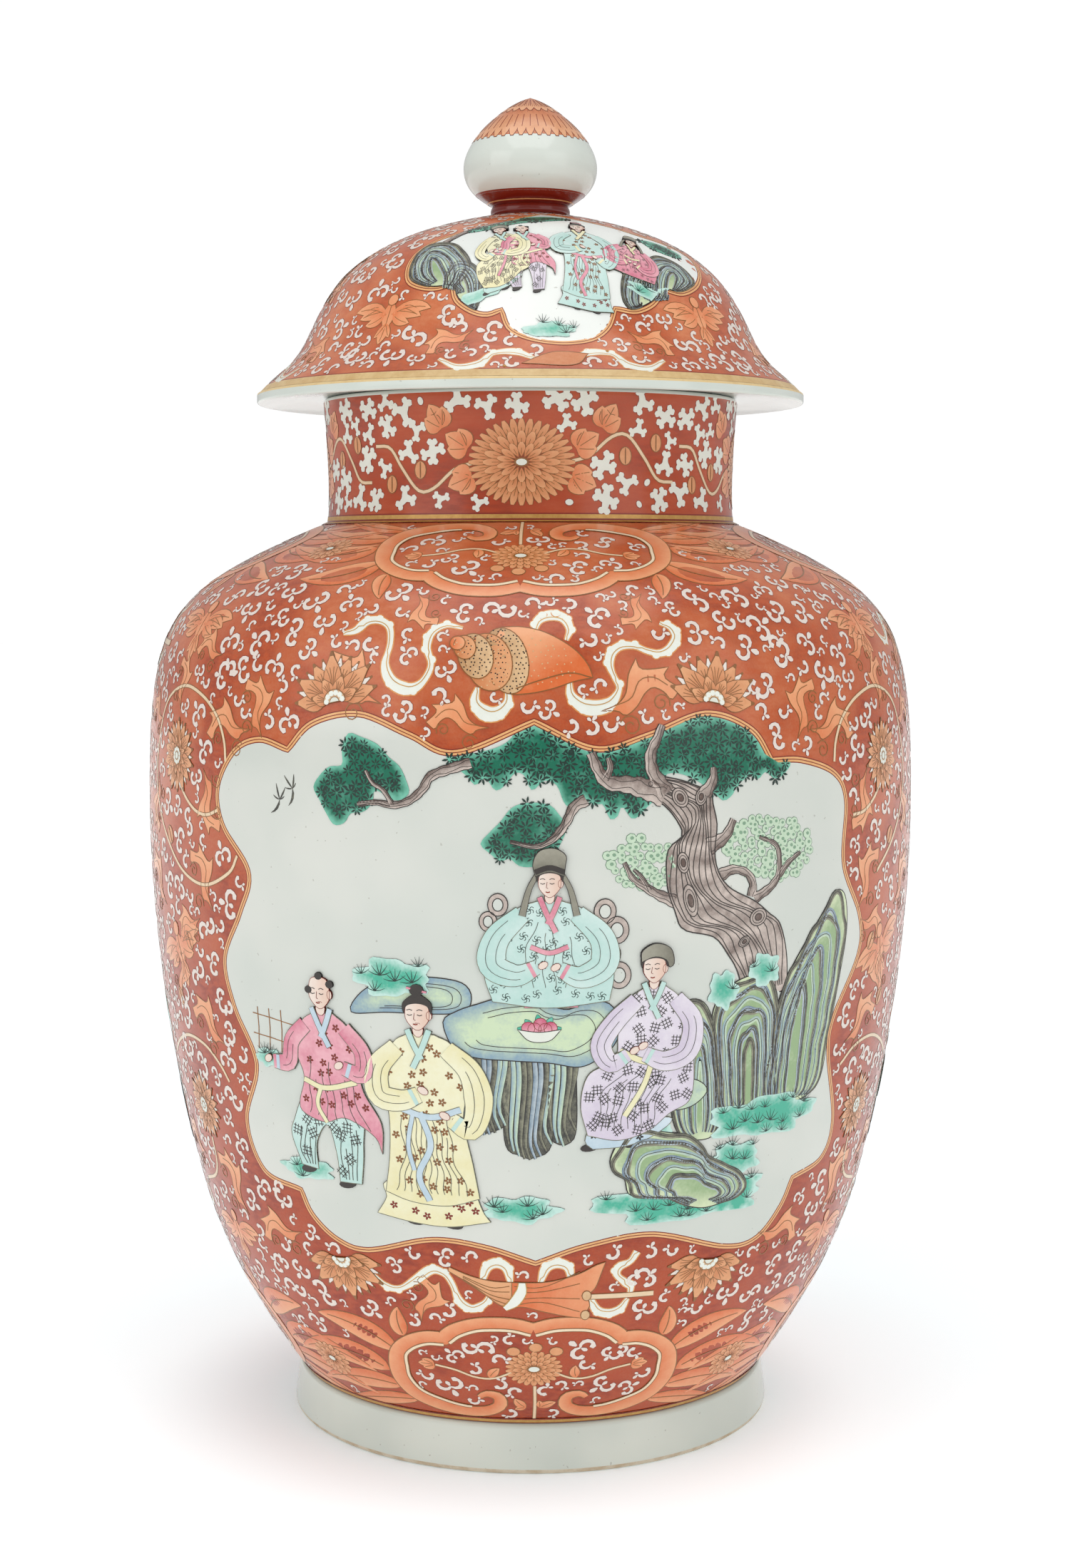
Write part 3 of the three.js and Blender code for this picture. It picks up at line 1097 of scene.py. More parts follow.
def fade(base: float, across: float = 0.0, rise: float = 0.0) -> Callable[[Array], Array]:
    """Gives a wash that changes evenly over a shape.

    Args:
        base: The wash at the board's middle.
        across: Its change over a millimetre to the right.
        rise: Its change over a millimetre upwards.

    Returns:
        What gives the wash for an array of points.
    """
    return lambda points: np.clip(base + across * points[:, 0] + rise * points[:, 1], 0, 1)


@dataclass
class Brush:
    """A hand that draws on one board of a painting, layer by layer."""

    painting: Painting
    chart: Chart
    layer: int = 0
    blocks: bool = True

    def on(self, *place: float, up: int = 0, **turn: float) -> "Brush":
        """Gives a hand on a smaller board at a point of this one, some layers higher."""
        return Brush(self.painting, self.chart.at(*place, **turn), self.layer + up, self.blocks)

    def put(self, patch: Patch, pigment: Finish, up: int = 0, spots: Spots | None = None) -> None:
        """Lays a shape on the board."""
        self.painting.add(patch, self.chart, pigment, self.layer + up, spots, self.blocks)

    def line(
        self, path: Array, width: Array | float, pigment: Finish, up: int = 0, wash: float | tuple = 0.5,
        closed: bool = False,
    ) -> None:
        """Draws a stroke along a path."""
        self.put(brushed(path, width, wash, closed), pigment, up)

    def edged(
        self, path: Array, width: Array | float, pigment: Finish, edge: Finish, rim: float = 0.45,
        up: int = 0, wash: float | tuple = 0.4,
    ) -> None:
        """Draws a stroke with a darker line on both sides."""
        self.line(path, width + 2 * rim, edge, up)
        self.line(path, width, pigment, up + 1, wash)

    def area(
        self, outline: Array, pigment: Finish, edge: Finish | None = None, up: int = 0, rim: float = 0.4,
        wash: "Callable[[Array], Array] | float" = 0.3, spacing: float = 6.0,
    ) -> None:
        """Fills an outline, and draws a line round it if an edge is given.

        Args:
            outline: The closed outline.
            pigment: What it is painted with.
            edge: The line's pigment, if it has a line.
            up: How many layers higher it lies.
            rim: The line's width.
            wash: The wash of the fill.
            spacing: How far apart the points inside it are.
        """
        self.put(filled(outline, wash, spacing), pigment, up)
        if edge:
            self.line(outline, rim, edge, up + 1, closed=True)

    def ring(self, patch: Patch, pigment: Finish, count: int, radius: float, start: float = 0.0,
             spread: float = 360.0, up: int = 0) -> None:
        """Lays copies of a shape round the board's middle, each turned outwards.

        Args:
            patch: The shape, which points up.
            pigment: What it is painted with.
            count: The number of copies.
            radius: How far from the middle they start.
            start: The first copy's turn in degrees.
            spread: The turn over all the copies.
            up: How many layers higher they lie.
        """
        full = spread >= 360
        turns = start + spread * np.arange(count) / (count if full else count - 1)
        angle = np.radians(turns)
        places = radius * np.c_[-np.sin(angle), np.cos(angle)]
        self.put(patch, pigment, up, Spots.on_board(places, turns))


class Curl(Enum):
    """The small white scrolls: where each hook starts, its turn, side and size, and then the buds."""

    PAIR = (((0, 0, -34, 1, 1.0), (0, 0, 38, -1, 0.94)), ((0, 1.6, 4, 1.25), (0, -0.3, 175, 0.9)))
    WAVE = (((0, 0, 10, 1, 1.05), (0, 0, 185, 1, 0.95)), ((0, 0.2, 65, 0.9), (0, -0.2, 245, 0.9)))
    TRIPLE = (
        ((0, 0, -30, 1, 0.95), (0, 0, 48, -1, 0.9), (5.4, -3.2, -120, 1, 0.8)),
        ((0, 0.6, 8, 1.0), (5.6, -3.2, -30, 0.8), (-0.2, -0.3, 170, 0.7)),
    )
    SINGLE = (((-3, 0, 0, 1, 0.95),), ((-3.2, 0, 60, 0.9), (-3, -0.3, 150, 0.7)))

    def patch(self, rim: float) -> Patch:
        """Draws the motif: each hook is a clockwise spiral, thin where it starts and round at its head.

        Args:
            rim: How much wider than the white the strokes are on each side.

        Returns:
            The motif.
        """
        hooks, buds = self.value
        t = np.linspace(0, 1, 8)
        sweep = np.radians(180 - 236 * t)
        hook = (3.3 - 1.2 * t ** 1.3)[:, None] * np.c_[np.cos(sweep), np.sin(sweep)] + [3.3, 0.0]
        swell = np.array([0.8, 1.4, 1.8, 1.9, 1.6, 1.5, 2.5, 1.8]) + 2 * rim
        bud = bent(3.1, 0, 3, (0.0, 0.3))
        strokes = []
        for x, y, turn, side, size in hooks:
            strokes.append(brushed(placed(hook, turn, x, y, size, side < 0), swell, 0.3))
        for x, y, turn, size in buds:
            width = np.array([0.7, 1.7, 2.2, 0.9]) * size + 2 * rim
            strokes.append(brushed(placed(bud, turn, x, y, size), width, 0.3))
        return merged(strokes)


class Scatter:
    """Strews motifs over a painting's bare ground, evenly but without a grid."""

    def __init__(self, painting: Painting, low: float, high: float, seed: int) -> None:
        """Notes what is taken, and draws candidate places that are even over the face.

        Args:
            painting: The painting.
            low: The lowest arc length.
            high: The highest arc length.
            seed: The seed of the draw.
        """
        self.painting = painting
        self.random = np.random.default_rng(seed)
        taken = np.unique(np.round(np.vstack(painting.taken) / CELL), axis=0) * CELL
        self.tree = kdtree.KDTree(len(taken))
        for index, point in enumerate(taken):
            self.tree.insert(point, index)
        self.tree.balance()
        arc = self.random.uniform(low, high, CANDIDATES)
        radius = painting.face.radius_at(arc)
        kept = self.random.uniform(0, radius.max(), len(arc)) < radius
        self.arcs = arc[kept]
        self.angles = self.random.uniform(0, 360, len(self.arcs))
        self.points, _ = painting.face.place(np.radians(self.angles), self.arcs, np.zeros(len(self.arcs)))
        self.clear = np.array([self.tree.find(point)[2] for point in self.points])
        self.placed = np.zeros((0, 3))
        self.reach = np.zeros(0)

    def strew(self, motifs: Sequence[Patch], edges: Sequence[Patch], radius: float, gap: float,
              pigments: tuple[Finish, Finish], size: float = 1.0, layer: int = 0) -> None:
        """Takes the candidates in order and keeps each one that is clear of all before it.

        Args:
            motifs: The motifs, which are drawn by lot.
            edges: Their wider darker copies.
            radius: Half of a motif's width.
            gap: What stays free between motifs.
            pigments: What the motifs and their edges are painted with.
            size: The motifs' size.
            layer: Their layer.
        """
        chosen = []
        for index in np.flatnonzero(self.clear > radius * 0.93 + gap):
            away = np.linalg.norm(self.placed - self.points[index], axis=1)
            if (away < self.reach + radius + gap).any():
                continue
            chosen.append(index)
            self.placed = np.vstack([self.placed, self.points[index]])
            self.reach = np.r_[self.reach, radius]
        chosen = np.array(chosen)
        kind = self.random.integers(0, len(motifs), len(chosen))
        turns = self.random.uniform(0, 360, len(chosen))
        sizes = size * self.random.uniform(0.88, 1.1, len(chosen))
        mirrors = self.random.random(len(chosen)) < 0.5
        chart = Chart(self.painting.face, 0.0, 0.0)
        for number, (motif, edge) in enumerate(zip(motifs, edges)):
            of = kind == number
            if not of.any():
                continue
            matrices = Spots.matrices_of(of.sum(), turns[of], sizes[of], mirrors[of])
            spots = Spots(self.angles[chosen[of]], self.arcs[chosen[of]], np.zeros((of.sum(), 2)), matrices)
            self.painting.add(edge, chart, pigments[1], layer, spots, False)
            self.painting.add(motif, chart, pigments[0], layer + 1, spots, False)
        LOG.info("%s: strewed %d motifs", self.painting.prefix, len(chosen))


def turned_shell(outline: Array, columns: int = 360) -> tuple[Array, Array]:
    """Turns a closed outline about the axis: (r, z) goes to (r sin a, -r cos a, z) for each angle a.

    An outline that starts and ends on the axis closes there, with one point at each pole.

    Args:
        outline: Radii and heights, anticlockwise.
        columns: The number of steps round the axis.

    Returns:
        Points and triangles that face outwards.
    """
    poles = outline[0, 0] < 1e-6
    rings = outline[1:-1] if poles else outline
    angle = 2 * np.pi * np.arange(columns) / columns
    radius, height = rings[:, 0, None], rings[:, 1, None]
    grid = np.stack([radius * np.sin(angle), -radius * np.cos(angle), height + 0 * angle], axis=-1)
    rows = len(rings)
    i = np.arange(rows - 1 if poles else rows)[:, None]
    j = np.arange(columns)[None]
    a, b = i * columns + j, i * columns + (j + 1) % columns
    above = (i + 1) % rows * columns
    c, d = above + (j + 1) % columns, above + j
    faces = np.concatenate([np.stack([a, b, c], -1), np.stack([a, c, d], -1)]).reshape(-1, 3)
    points = grid.reshape(-1, 3)
    if poles:
        first, last = rows * columns, rows * columns + 1
        ends = [[0.0, 0.0, outline[0, 1]], [0.0, 0.0, outline[-1, 1]]]
        j = np.arange(columns)
        after = (j + 1) % columns
        top = (rows - 1) * columns
        low_fan = np.c_[np.full(columns, first), after, j]
        high_fan = np.c_[top + j, top + after, np.full(columns, last)]
        points, faces = np.vstack([points, ends]), np.vstack([faces, low_fan, high_fan])
    return points, faces


@dataclass
class Shell:
    """One turned porcelain section."""

    name: str
    body: str
    outline: Array
    stands_for: tuple[str, ...]
    slot: str

    def make(self, finishes: Sequence[Finish], chooser: Callable[[Array], Array] | None = None) -> None:
        """Turns the section and dresses it.

        Args:
            finishes: Its finishes.
            chooser: What gives each face's finish from the face's middle.
        """
        points, faces = turned_shell(self.outline)
        chosen = chooser(points[faces].mean(axis=1)) if chooser else None
        piece = Piece(self.name, points, faces, self.body, self.slot, self.stands_for)
        piece.make([Materials.of(finish) for finish in finishes], chosen)


def lotus(brush: Brush, radius: float, half: bool = False) -> None:
    """Draws a lotus flower: white tips, two rows of long pointed petals with veins, and white beads.

    Args:
        brush: The hand, at the flower's middle.
        radius: The flower's radius.
        half: Whether only its upper half is drawn.
    """
    rows = (
        (Finish.SCROLL, 6, -67.5, 135, 0.4, 0.5, 0.14), (Finish.PETAL, 4, -81, 162, 0.2, 0.72, 0.34),
        (Finish.PETAL, 3, -54, 108, 0.16, 0.84, 0.38), (Finish.PETAL, 4, -72, 144, 0.14, 0.4, 0.24),
    ) if half else (
        (Finish.SCROLL, 14, 13, 360, 0.4, 0.52, 0.13), (Finish.PETAL, 7, 25.7, 360, 0.2, 0.76, 0.34),
        (Finish.PETAL, 7, 0, 360, 0.16, 0.84, 0.36), (Finish.PETAL, 9, 10, 360, 0.12, 0.4, 0.2),
    )
    for number, (pigment, count, start, spread, base, length, width) in enumerate(rows):
        path = bent(radius * length, 0, 8)
        swell = leaf_width(9, radius * width, 0.36, 1.25)
        layer = 3 * number
        tone = np.linspace(0.95, 0.0, 9) if number else 0.1
        brush.ring(brushed(path, swell + 0.7, 0.5), BROWN, count, radius * base, start, spread, layer)
        brush.ring(brushed(path[:-1], swell[:-1], tone), pigment, count, radius * base, start, spread,
                   layer + 1)
        if number:
            veins = [brushed(bent(radius * length * 0.6, side, 4, (side * 0.03, 0.3)), 0.28, 0.4)
                     for side in (-22, -8, 8, 22)]
            brush.ring(merged(veins), BROWN, count, radius * base, start, spread, layer + 2)
    disc = ellipse(0, 0, radius * 0.24, radius * 0.24)
    core = ellipse(0, 0, radius * 0.1, radius * 0.1, steps=12)
    brush.area(disc[disc[:, 1] > -radius * 0.02] if half else disc, Finish.SHELL_BAND, BROWN, 12, wash=0.2)
    bead = filled(ellipse(0, 0, radius * 0.055, radius * 0.055, steps=7), 0.1)
    turns = (-80, 160) if half else (0, 360)
    brush.ring(bead, Finish.RIBBON, 6 if half else 10, radius * 0.175, *turns, 14)
    brush.area(core[core[:, 1] > -0.1] if half else core, Finish.RIBBON, BROWN, 14, 0.3, 0.6)


def daisy(brush: Brush, radius: float, rings: Sequence[tuple[int, float, float]], heart: float) -> None:
    """Draws a many-petalled flower from its outer ring inwards.

    Args:
        brush: The hand.
        radius: The flower's radius.
        rings: For each ring its count of petals and the shares of the radius where they start and end.
        heart: The centre's radius.
    """
    for number, (count, start, end) in enumerate(rings):
        width = 2 * math.pi * radius * (start * 0.35 + end * 0.65) / count * 0.92
        petal = bent(radius * (end - start), 0, 5)
        swell = np.r_[leaf_width(6, width, 0.64, 0.6)[:-1], width * 0.42]
        brush.ring(brushed(petal, swell + 0.55, 0.6), BROWN, count, radius * start, up=2 * number)
        brush.ring(brushed(petal, swell, np.linspace(1.0, 0.1, 6)), Finish.PETAL, count, radius * start,
                   up=2 * number + 1)
        vein = brushed(petal[1:-2], 0.3, 0.2, sunk=False)
        brush.ring(vein, BROWN, count, radius * start, up=2 * number + 2)
    top = 2 * len(rings) + 1
    brush.area(ellipse(0, 0, heart * 1.35, heart * 1.1, steps=14), BROWN, up=top)
    brush.area(ellipse(0, 0, heart, heart * 0.75, steps=12), Finish.RIBBON, up=top + 1)


def leafage(brush: Brush, leaves: Sequence[tuple], rim: float = 0.42, veins: bool = True) -> None:
    """Draws leaves that grow into one another, so that one brown line runs round them all.

    Args:
        brush: The hand.
        leaves: For each leaf where it starts, its turn, length, width and curl.
        rim: The width of the brown line.
        veins: Whether each leaf has a midrib.
    """
    for x, y, turn, length, width, curl in leaves:
        path = placed(bent(length, curl, 7), turn, x, y)
        swell = leaf_width(8, width)
        brush.line(path, swell + 2 * rim, BROWN)
        brush.line(path, swell, Finish.LEAF, 1, np.linspace(0.75, 0.05, 8))
        if veins:
            brush.line(path[1:-1], 0.35, BROWN, 2, 0.2)


ROUND_LEAVES = ((0, 0, 38, 9.5, 8.5, 10), (0, 0, -38, 9.5, 8.5, -10), (0, 0.5, 0, 11.5, 8.5, 0))


def spray(brush: Brush) -> None:
    """Draws a smooth hooked leaf with sharp tips, its fine inner line and two coiled tendrils.

    Args:
        brush: The hand, at the leaf's middle.
    """
    leaf = smooth((
        (-10.5, -12), (-10.5, -12), (-6, -8), (-4, -3), (-5, 4), (-4, 10.5), (-4, 10.5), (-1.5, 7.5),
        (3, 8.8), (8.5, 11.5), (8.5, 11.5), (8, 7.4), (15, 5.5), (15, 5.5), (13, 0.5), (9.4, 2.2),
        (5, 2.4), (2.6, -1), (1.4, -6), (-1.5, -10.5), (-5, -10),
    ), True, 1.7)
    brush.area(leaf, Finish.LEAF, BROWN, wash=fade(0.35, 0, -0.03))
    brush.line(smooth(((-7, -9), (-1.6, -4), (-0.6, 3), (4, 6), (10, 5)), step=2), 0.35, BROWN, 2, 0.2)
    t = np.linspace(0, 1, 14)
    for x, y, size, side in ((9.5, -1.8, 3.6, 1), (1.5, -13.5, 4.2, -1)):
        coil = (1 - 0.75 * t)[:, None] * size * np.c_[side * np.cos(8.5 * t), np.sin(8.5 * t)] + [x, y]
        brush.line(coil, 0.45, BROWN, 2, 0.1)


def stem(brush: Brush, places: Array, width: float = 1.3) -> None:
    """Draws a cream stem between two fine brown lines."""
    brush.edged(smooth(places, step=2.6), width, Finish.CREAM, BROWN, 0.35)


def ribbon(brush: Brush, points: Points, widths: Sequence[float]) -> None:
    """Draws a floating white ribbon with ochre edges, an inner line, and scallops outside its bends.

    Args:
        brush: The hand.
        points: What the ribbon goes through.
        widths: Its widths, spread evenly along it.
    """
    path = smooth(points, step=1.7)
    swell = 0.86 * taper(path, *widths)
    left = leftward(path)
    bent_by = (np.gradient(left, axis=0) * np.c_[-left[:, 1], left[:, 0]]).sum(axis=1)
    outer = -np.sign(bent_by)
    brush.line(path, swell + 1.1, Finish.BORDER, 0, 0.9)
    places = (path + left * (outer * swell * 0.24)[:, None])[2:-2:3][np.abs(bent_by)[2:-2:3] > 0.15]
    if len(places):
        spots = Spots.on_board(places)
        brush.put(filled(ellipse(0, 0, 2.2, 2.2, steps=10), 0.9), Finish.BORDER, 0, spots)
        brush.put(filled(ellipse(0, 0, 1.75, 1.75, steps=10), 0.0), Finish.RIBBON, 1, spots)
    brush.line(path, swell, Finish.RIBBON, 1, 0.1)
    inner = path - left * (outer * swell * 0.2)[:, None]
    brush.line(inner, 0.4, Finish.GOLD, 2, 0.3)


@dataclass
class Lappet:
    """A cloud-shaped lappet that hangs from the neck or stands on the foot, with its long leaves."""

    band: tuple = (
        (0, 62.2, 7), (7.8, 64.7, 7), (15.6, 65.2, 7), (25.2, 64.2, 7), (34.1, 60.2, 7.5),
        (39.4, 54.9, 7.5), (39.4, 54.9, 7.5), (47.5, 54.4, 7.5), (55.5, 50.4, 7.7), (61, 43.6, 8),
        (61.6, 34.6, 9.2), (59.8, 25.6, 8.6), (53.2, 16.7, 8), (42.3, 11.2, 8), (30.3, 8.2, 7),
        (20.5, 8.8, 6.6), (14.6, 13.2, 6), (15.2, 19.5, 5), (20.6, 21.2, 3.6), (23.6, 18.6, 2.4),
    )
    leaves: tuple = (
        (66, 30, -62, 62, 15, 62), (62, 44, -52, 46, 13, 40), (58, 54, -28, 17, 8, -38),
        (60, 20, -82, 52, 12, 38), (52, 12, -96, 44, 9, 22),
    )

    def draw(self, brush: Brush) -> None:
        """Draws the lappet on a board whose y leads from the rim that it grows on.

        Args:
            brush: The hand, at the middle of that rim.
        """
        halves = [brush.on(0, 0, mirror=mirror) for mirror in (False, True)]
        for half in halves:
            for x, y, turn, length, width, curl in self.leaves:
                path = placed(bent(length, curl, 16), turn, x, y)
                swell = leaf_width(17, width, 0.4)
                half.line(path, swell + 1.0, BROWN)
                half.line(path, swell, Finish.LEAF, 1, (0.95, 0.15))
                half.line(path[1:-2], 0.5, BROWN, 2, 0.3)
        places = np.array(self.band)
        path = smooth(places[:, :2], step=2.2)
        given, arc = arc_lengths(places[:, :2]), arc_lengths(path)
        swell = np.interp(arc / arc[-1], given / given[-1], places[:, 2])
        corner = int(np.argmin(np.abs(path - [39.4, 54.9]).sum(axis=1)))
        for half in halves:
            half.line(path, swell + 1.1, BROWN, 3)
            half.line(path, swell, Finish.LEAF, 4, (0.15, 0.85))
            for run in (slice(0, corner + 1), slice(corner, -8)):
                inner = path[run] - leftward(path[run]) * (swell[run] / 2)[:, None]
                inner = inner[clearance(inner, path) > swell[run].mean() * 0.44]
                half.line(inner, 2.2, BROWN, 5)
                half.line(inner, 1.3, Finish.CREAM, 6, 0.1)
        self.dress(brush)

    @staticmethod
    def dress(brush: Brush) -> None:
        """Draws the flower in the lappet, its stems, buds and leaves.

        Args:
            brush: The hand of the lappet.
        """
        stem(brush, np.array([(0.8, 27), (0.9, 14), (0.6, 2.5)]), 1.2)
        for side in (-1, 1):
            path = np.array([(9.5, 35.7), (17.5, 31.6), (25.6, 32.1), (34.6, 36), (43.5, 38)]) * [side, 1]
            stem(brush, path, 1.0)
            for x, y, turn, leaves in (
                (44, 38, -88, ((0, 0, 35, 6, 4, 20), (0, 0, -35, 6, 4, -20), (0, 0, 0, 7.5, 4.5, 0))),
                (3, 12, -50, ((0, 0, 0, 8, 4.4, 25), (0, 0, 45, 5, 3, -20))),
                (19, 32, 22, ((0, 0, 0, 8, 4.4, 30),)),
            ):
                leafage(brush.on(side * x, y, turn=side * turn), leaves)
        daisy(brush.on(0.4, 38.3, squash=0.88), 12.4, ((22, 0.5, 1.0), (15, 0.32, 0.74), (10, 0.16, 0.46)),
              2.4)
        for x, y in ((1, 51.5), (-8.6, 49), (10, 49)):
            brush.area(ellipse(x, y, 3, 2.7, steps=12), Finish.PETAL, BROWN)


def conch(brush: Brush) -> None:
    """Draws a conch shell: a small spire at the left, dotted whorls, and a swollen body that narrows.

    Args:
        brush: The hand, at the shell's middle.
    """
    body = smooth((
        (-8, 14), (0, 14.2), (9, 12), (18, 7), (24, 2), (28, -3.5), (29.5, -8), (29.5, -8), (22, -9.5),
        (13, -12.5), (3, -14.5), (-6, -14.2), (-12, -8), (-13, 3),
    ), True, 2.2)
    hue = body.mean(axis=0)
    brush.area(body, Finish.LEAF, BROWN, wash=fade(0.3, 0.03, -0.05))
    whorls = (
        (Finish.SHELL_BAND, (-6, -0.5, 9, 14.4)), (Finish.PETAL, (-13, -1.2, 9.5, 12.4)),
        (Finish.SHELL_BAND, (-18.5, 1.2, 7.2, 9.8)), (Finish.PETAL, (-23, 4.8, 4.6, 5.2)),
        (Finish.LEAF, (-26, 6.6, 3.2, 3.0)),
    )
    dot = filled(ellipse(0, 0, 0.34, 0.34, steps=5), 1.0)
    for number, (pigment, (x, y, wide, high)) in enumerate(whorls):
        whorl = ellipse(x, y, wide, high, 14, 30)
        brush.area(whorl, pigment, BROWN, 2 + 2 * number, 0.4, fade(0.5 + x / wide / 2, -0.5 / wide))
        tone = INK if pigment is Finish.SHELL_BAND else Finish.CREAM
        places = sown(whorl, 1.9 if tone is INK else 2.6, 0.7, 4, 0.35)
        brush.put(dot, tone, 3 + 2 * number, Spots.on_board(places))
    specks = sown(body - (body - hue) * 0.14, 3.1, 1.0, 5)
    brush.put(dot, Finish.CREAM, 1, Spots.on_board(specks[specks[:, 0] > 2]))
    brush.line(smooth(((29, -8), (20, -6), (8, -9), (-2, -12.5)), step=2.5), 0.5, BROWN, 2)


def shell_emblem(brush: Brush) -> None:
    """Draws the conch with its floating ribbons.

    Args:
        brush: The hand, at the emblem's middle.
    """
    for points, widths in (
        (((-77, 10.5), (-71, 12), (-66, 16.5), (-60, 17), (-55.5, 13.5), (-55, 6), (-57, -3), (-54, -10),
          (-47, -13), (-41, -10.5), (-37, -3), (-39, 5), (-37, 11.5), (-31, 15), (-24, 13.5)),
         (1.6, 4.6, 4, 3, 2.4, 5.5, 6.4, 3, 2.6, 4.2, 3, 1.4)),
        (((5.5, 12), (7, 17.5), (12, 20), (17.5, 18.4), (20, 13), (18.5, 8)), (1.6, 4.6, 6, 5, 3.4, 1.6)),
        (((20, -9), (20.4, -15), (25, -19.4), (31, -20.5), (37, -18.5), (40.5, -12.5), (38.5, -8),
          (36.5, -3), (37, 2), (41, 5.4), (47, 5.4), (52, 3.2), (58, 2), (63, 4.4), (65.5, 9.5),
          (63, 14), (58, 15.8)),
         (1.6, 4.6, 7.4, 6.6, 2.6, 2.2, 4.8, 4, 2.4, 3, 5, 4.4, 1.6)),
        (((-17.5, -12), (-18.6, -18), (-14.5, -22.5), (-9, -22.5), (-5, -18), (-5.5, -12)),
         (1.6, 4.6, 7.4, 6.4, 4, 1.6)),
    ):
        ribbon(brush, points, widths)
    conch(brush.on(0, 0, up=3))


def fan_emblem(brush: Brush) -> None:
    """Draws a folded cloth fan with a tied neck on a cream rod, and its ribbons.

    Args:
        brush: The hand, at the emblem's middle.
    """
    for points, widths in (
        (((-71, 2.5), (-65.5, -2.5), (-59, -3.2), (-51.5, 2), (-44, 8.5), (-38, 7), (-34.5, 1.5),
          (-32.5, -5), (-30, -9), (-25.5, -10.8), (-20.5, -7.5), (-18.5, -3)),
         (1.6, 4, 3, 5, 5.2, 3, 2.6, 5, 4.6, 1.8)),
        (((-21.6, 4), (-19.8, 11), (-15.4, 13.6), (-11, 11), (-9.6, 4)), (2.4, 4.6, 5.6, 4.6, 2.4)),
        (((3.2, 4), (5.4, 11), (9.9, 13.6), (15, 11.4), (16.2, 5)), (2.4, 4.6, 5.6, 4.6, 2.4)),
        (((45, 17.2), (42, 12.6), (37, 10.4), (36, 6.5), (39.5, 2.5), (42.5, -0.5), (42, -4)),
         (3.4, 2.8, 4.6, 3, 4.4, 2)),
        (((25, -5), (27.4, -11.6), (32.5, -14), (38, -12), (41.2, -6.5)), (2, 4.6, 5.4, 4.4, 1.8)),
    ):
        ribbon(brush, points, widths)
    spray(brush.on(-45, -8, turn=-65, size=0.85, mirror=True))
    brush.edged(spaced(np.array([(20.0, -4.2), (53.0, -5.0)]), 3), 2.3, Finish.CREAM, BROWN, 0.4, 2)
    neck = smooth(((-36, 10.6), (-36, 10.6), (-26.6, 6.6), (-17, 4.4), (-8, 4), (-8, 4), (-8, -10),
                   (-8, -10), (-14.4, -8), (-20.5, -2.6), (-27, 2.6), (-36.5, 8.6), (-36.5, 8.6)), True, 2)
    brush.area(neck, Finish.PETAL, BROWN, 4, wash=fade(0.1, 0, -0.04))
    cloth = smooth(((-9, 4), (-9, 4), (4, 4), (13, 5.7), (20.6, 8.4), (26.7, 11.8), (31, 13.2), (31, 13.2),
                    (29, 7), (26.5, 0), (22.5, -3.6), (22.5, -3.6), (24.4, -9), (20.6, -15.6),
                    (20.6, -15.6), (13, -14), (4, -11.4), (-4, -9), (-9, -9.6), (-9, -9.6)), True, 2)
    brush.area(cloth, Finish.LEAF, BROWN, 6, wash=fade(0.85, -0.02))
    for y0, y1 in ((2, 9), (-1, 3), (-5, -5), (-8, -12)):
        fold = smooth(((-8, y0), (4, y0 * 0.8), (20, y1)), step=3)
        brush.line(fold, 0.35, BROWN, 8, 0.3)
        brush.line(smooth(((-30, 6 + y0 * 0.2), (-18, y0 * 0.55), (-10, y0)), step=3), 0.35, BROWN, 6, 0.3)
    ring = smooth(((-4.6, 3.8), (-5, -1), (-8, -6.5), (-12, -10)), step=1.6)
    brush.edged(ring, taper(ring, 2.6, 4.4, 4.4, 2), Finish.RIBBON, Finish.GOLD, 0.45, 9, 0.0)
    for x, y in ((23, -3.5), (22.5, -14)):
        brush.area(ellipse(x, y, 2.0, 2.6, steps=12), Finish.SHELL_BAND, BROWN, 9, 0.35)


def bat(brush: Brush) -> None:
    """Draws a bat with spread scalloped wings and a fringed tail.

    Args:
        brush: The hand, at the bat's middle.
    """
    for side in (False, True):
        wing = brush.on(0, 0, mirror=side)
        leafage(wing, ((2, 0, -62, 24, 8, 42), (4, 2, -92, 17, 7, 20), (3, 0, -130, 13, 6, -30),
                       (8, 4, -110, 12, 5, 10)))
    leafage(brush, ((0, -6, 180, 12, 6, 0), (0, -5, 158, 10, 4, 15), (0, -5, 202, 10, 4, -15),
                    (0, 8, 180, 17, 8, 0)))
    brush.area(ellipse(0, 9, 3.2, 3.4, steps=12), Finish.LEAF, BROWN, 3)


ROSETTE = merged([
    brushed(placed(np.array([(0, 0.6), (0, 1.8), (0, 2.9)]), turn), np.array([0.3, 0.95, 0.3]), 0.6)
    for turn in (-140, -88, -40, 6, 52, 98, 150)
])
TUFT = merged([
    brushed(placed(bent(5.0, turn * 0.2, 2), turn), np.array([0.42, 0.34, 0.12]), 0.5, sunk=False)
    for turn in (-78, -42, -12, 18, 48, 80)
])
BLOSSOM = merged([filled(placed(ellipse(0, 0.95, 0.5, 0.8, steps=5), 72 * k), 0.6) for k in range(5)])
KNOT = merged([
    brushed(placed(np.array(ends, float), 45), 0.32, 0.6, sunk=False)
    for y in (-1.4, 0.0, 1.4) for ends in (((-2.3, y), (2.3, y)), ((y, -2.3), (y, 2.3)))
])
SPROUT = merged([
    brushed(placed(bent(2.6, 150, 5, (0.2, 0.0)), turn), 0.28, 0.5, sunk=False)
    for turn in range(0, 360, 72)
])
ROCK_TONES = (
    CHARCOAL, Finish.ROCK_BLUE, CHARCOAL, Finish.SLAB, Finish.ROCK_BLUE, CHARCOAL, Finish.SLAB,
)


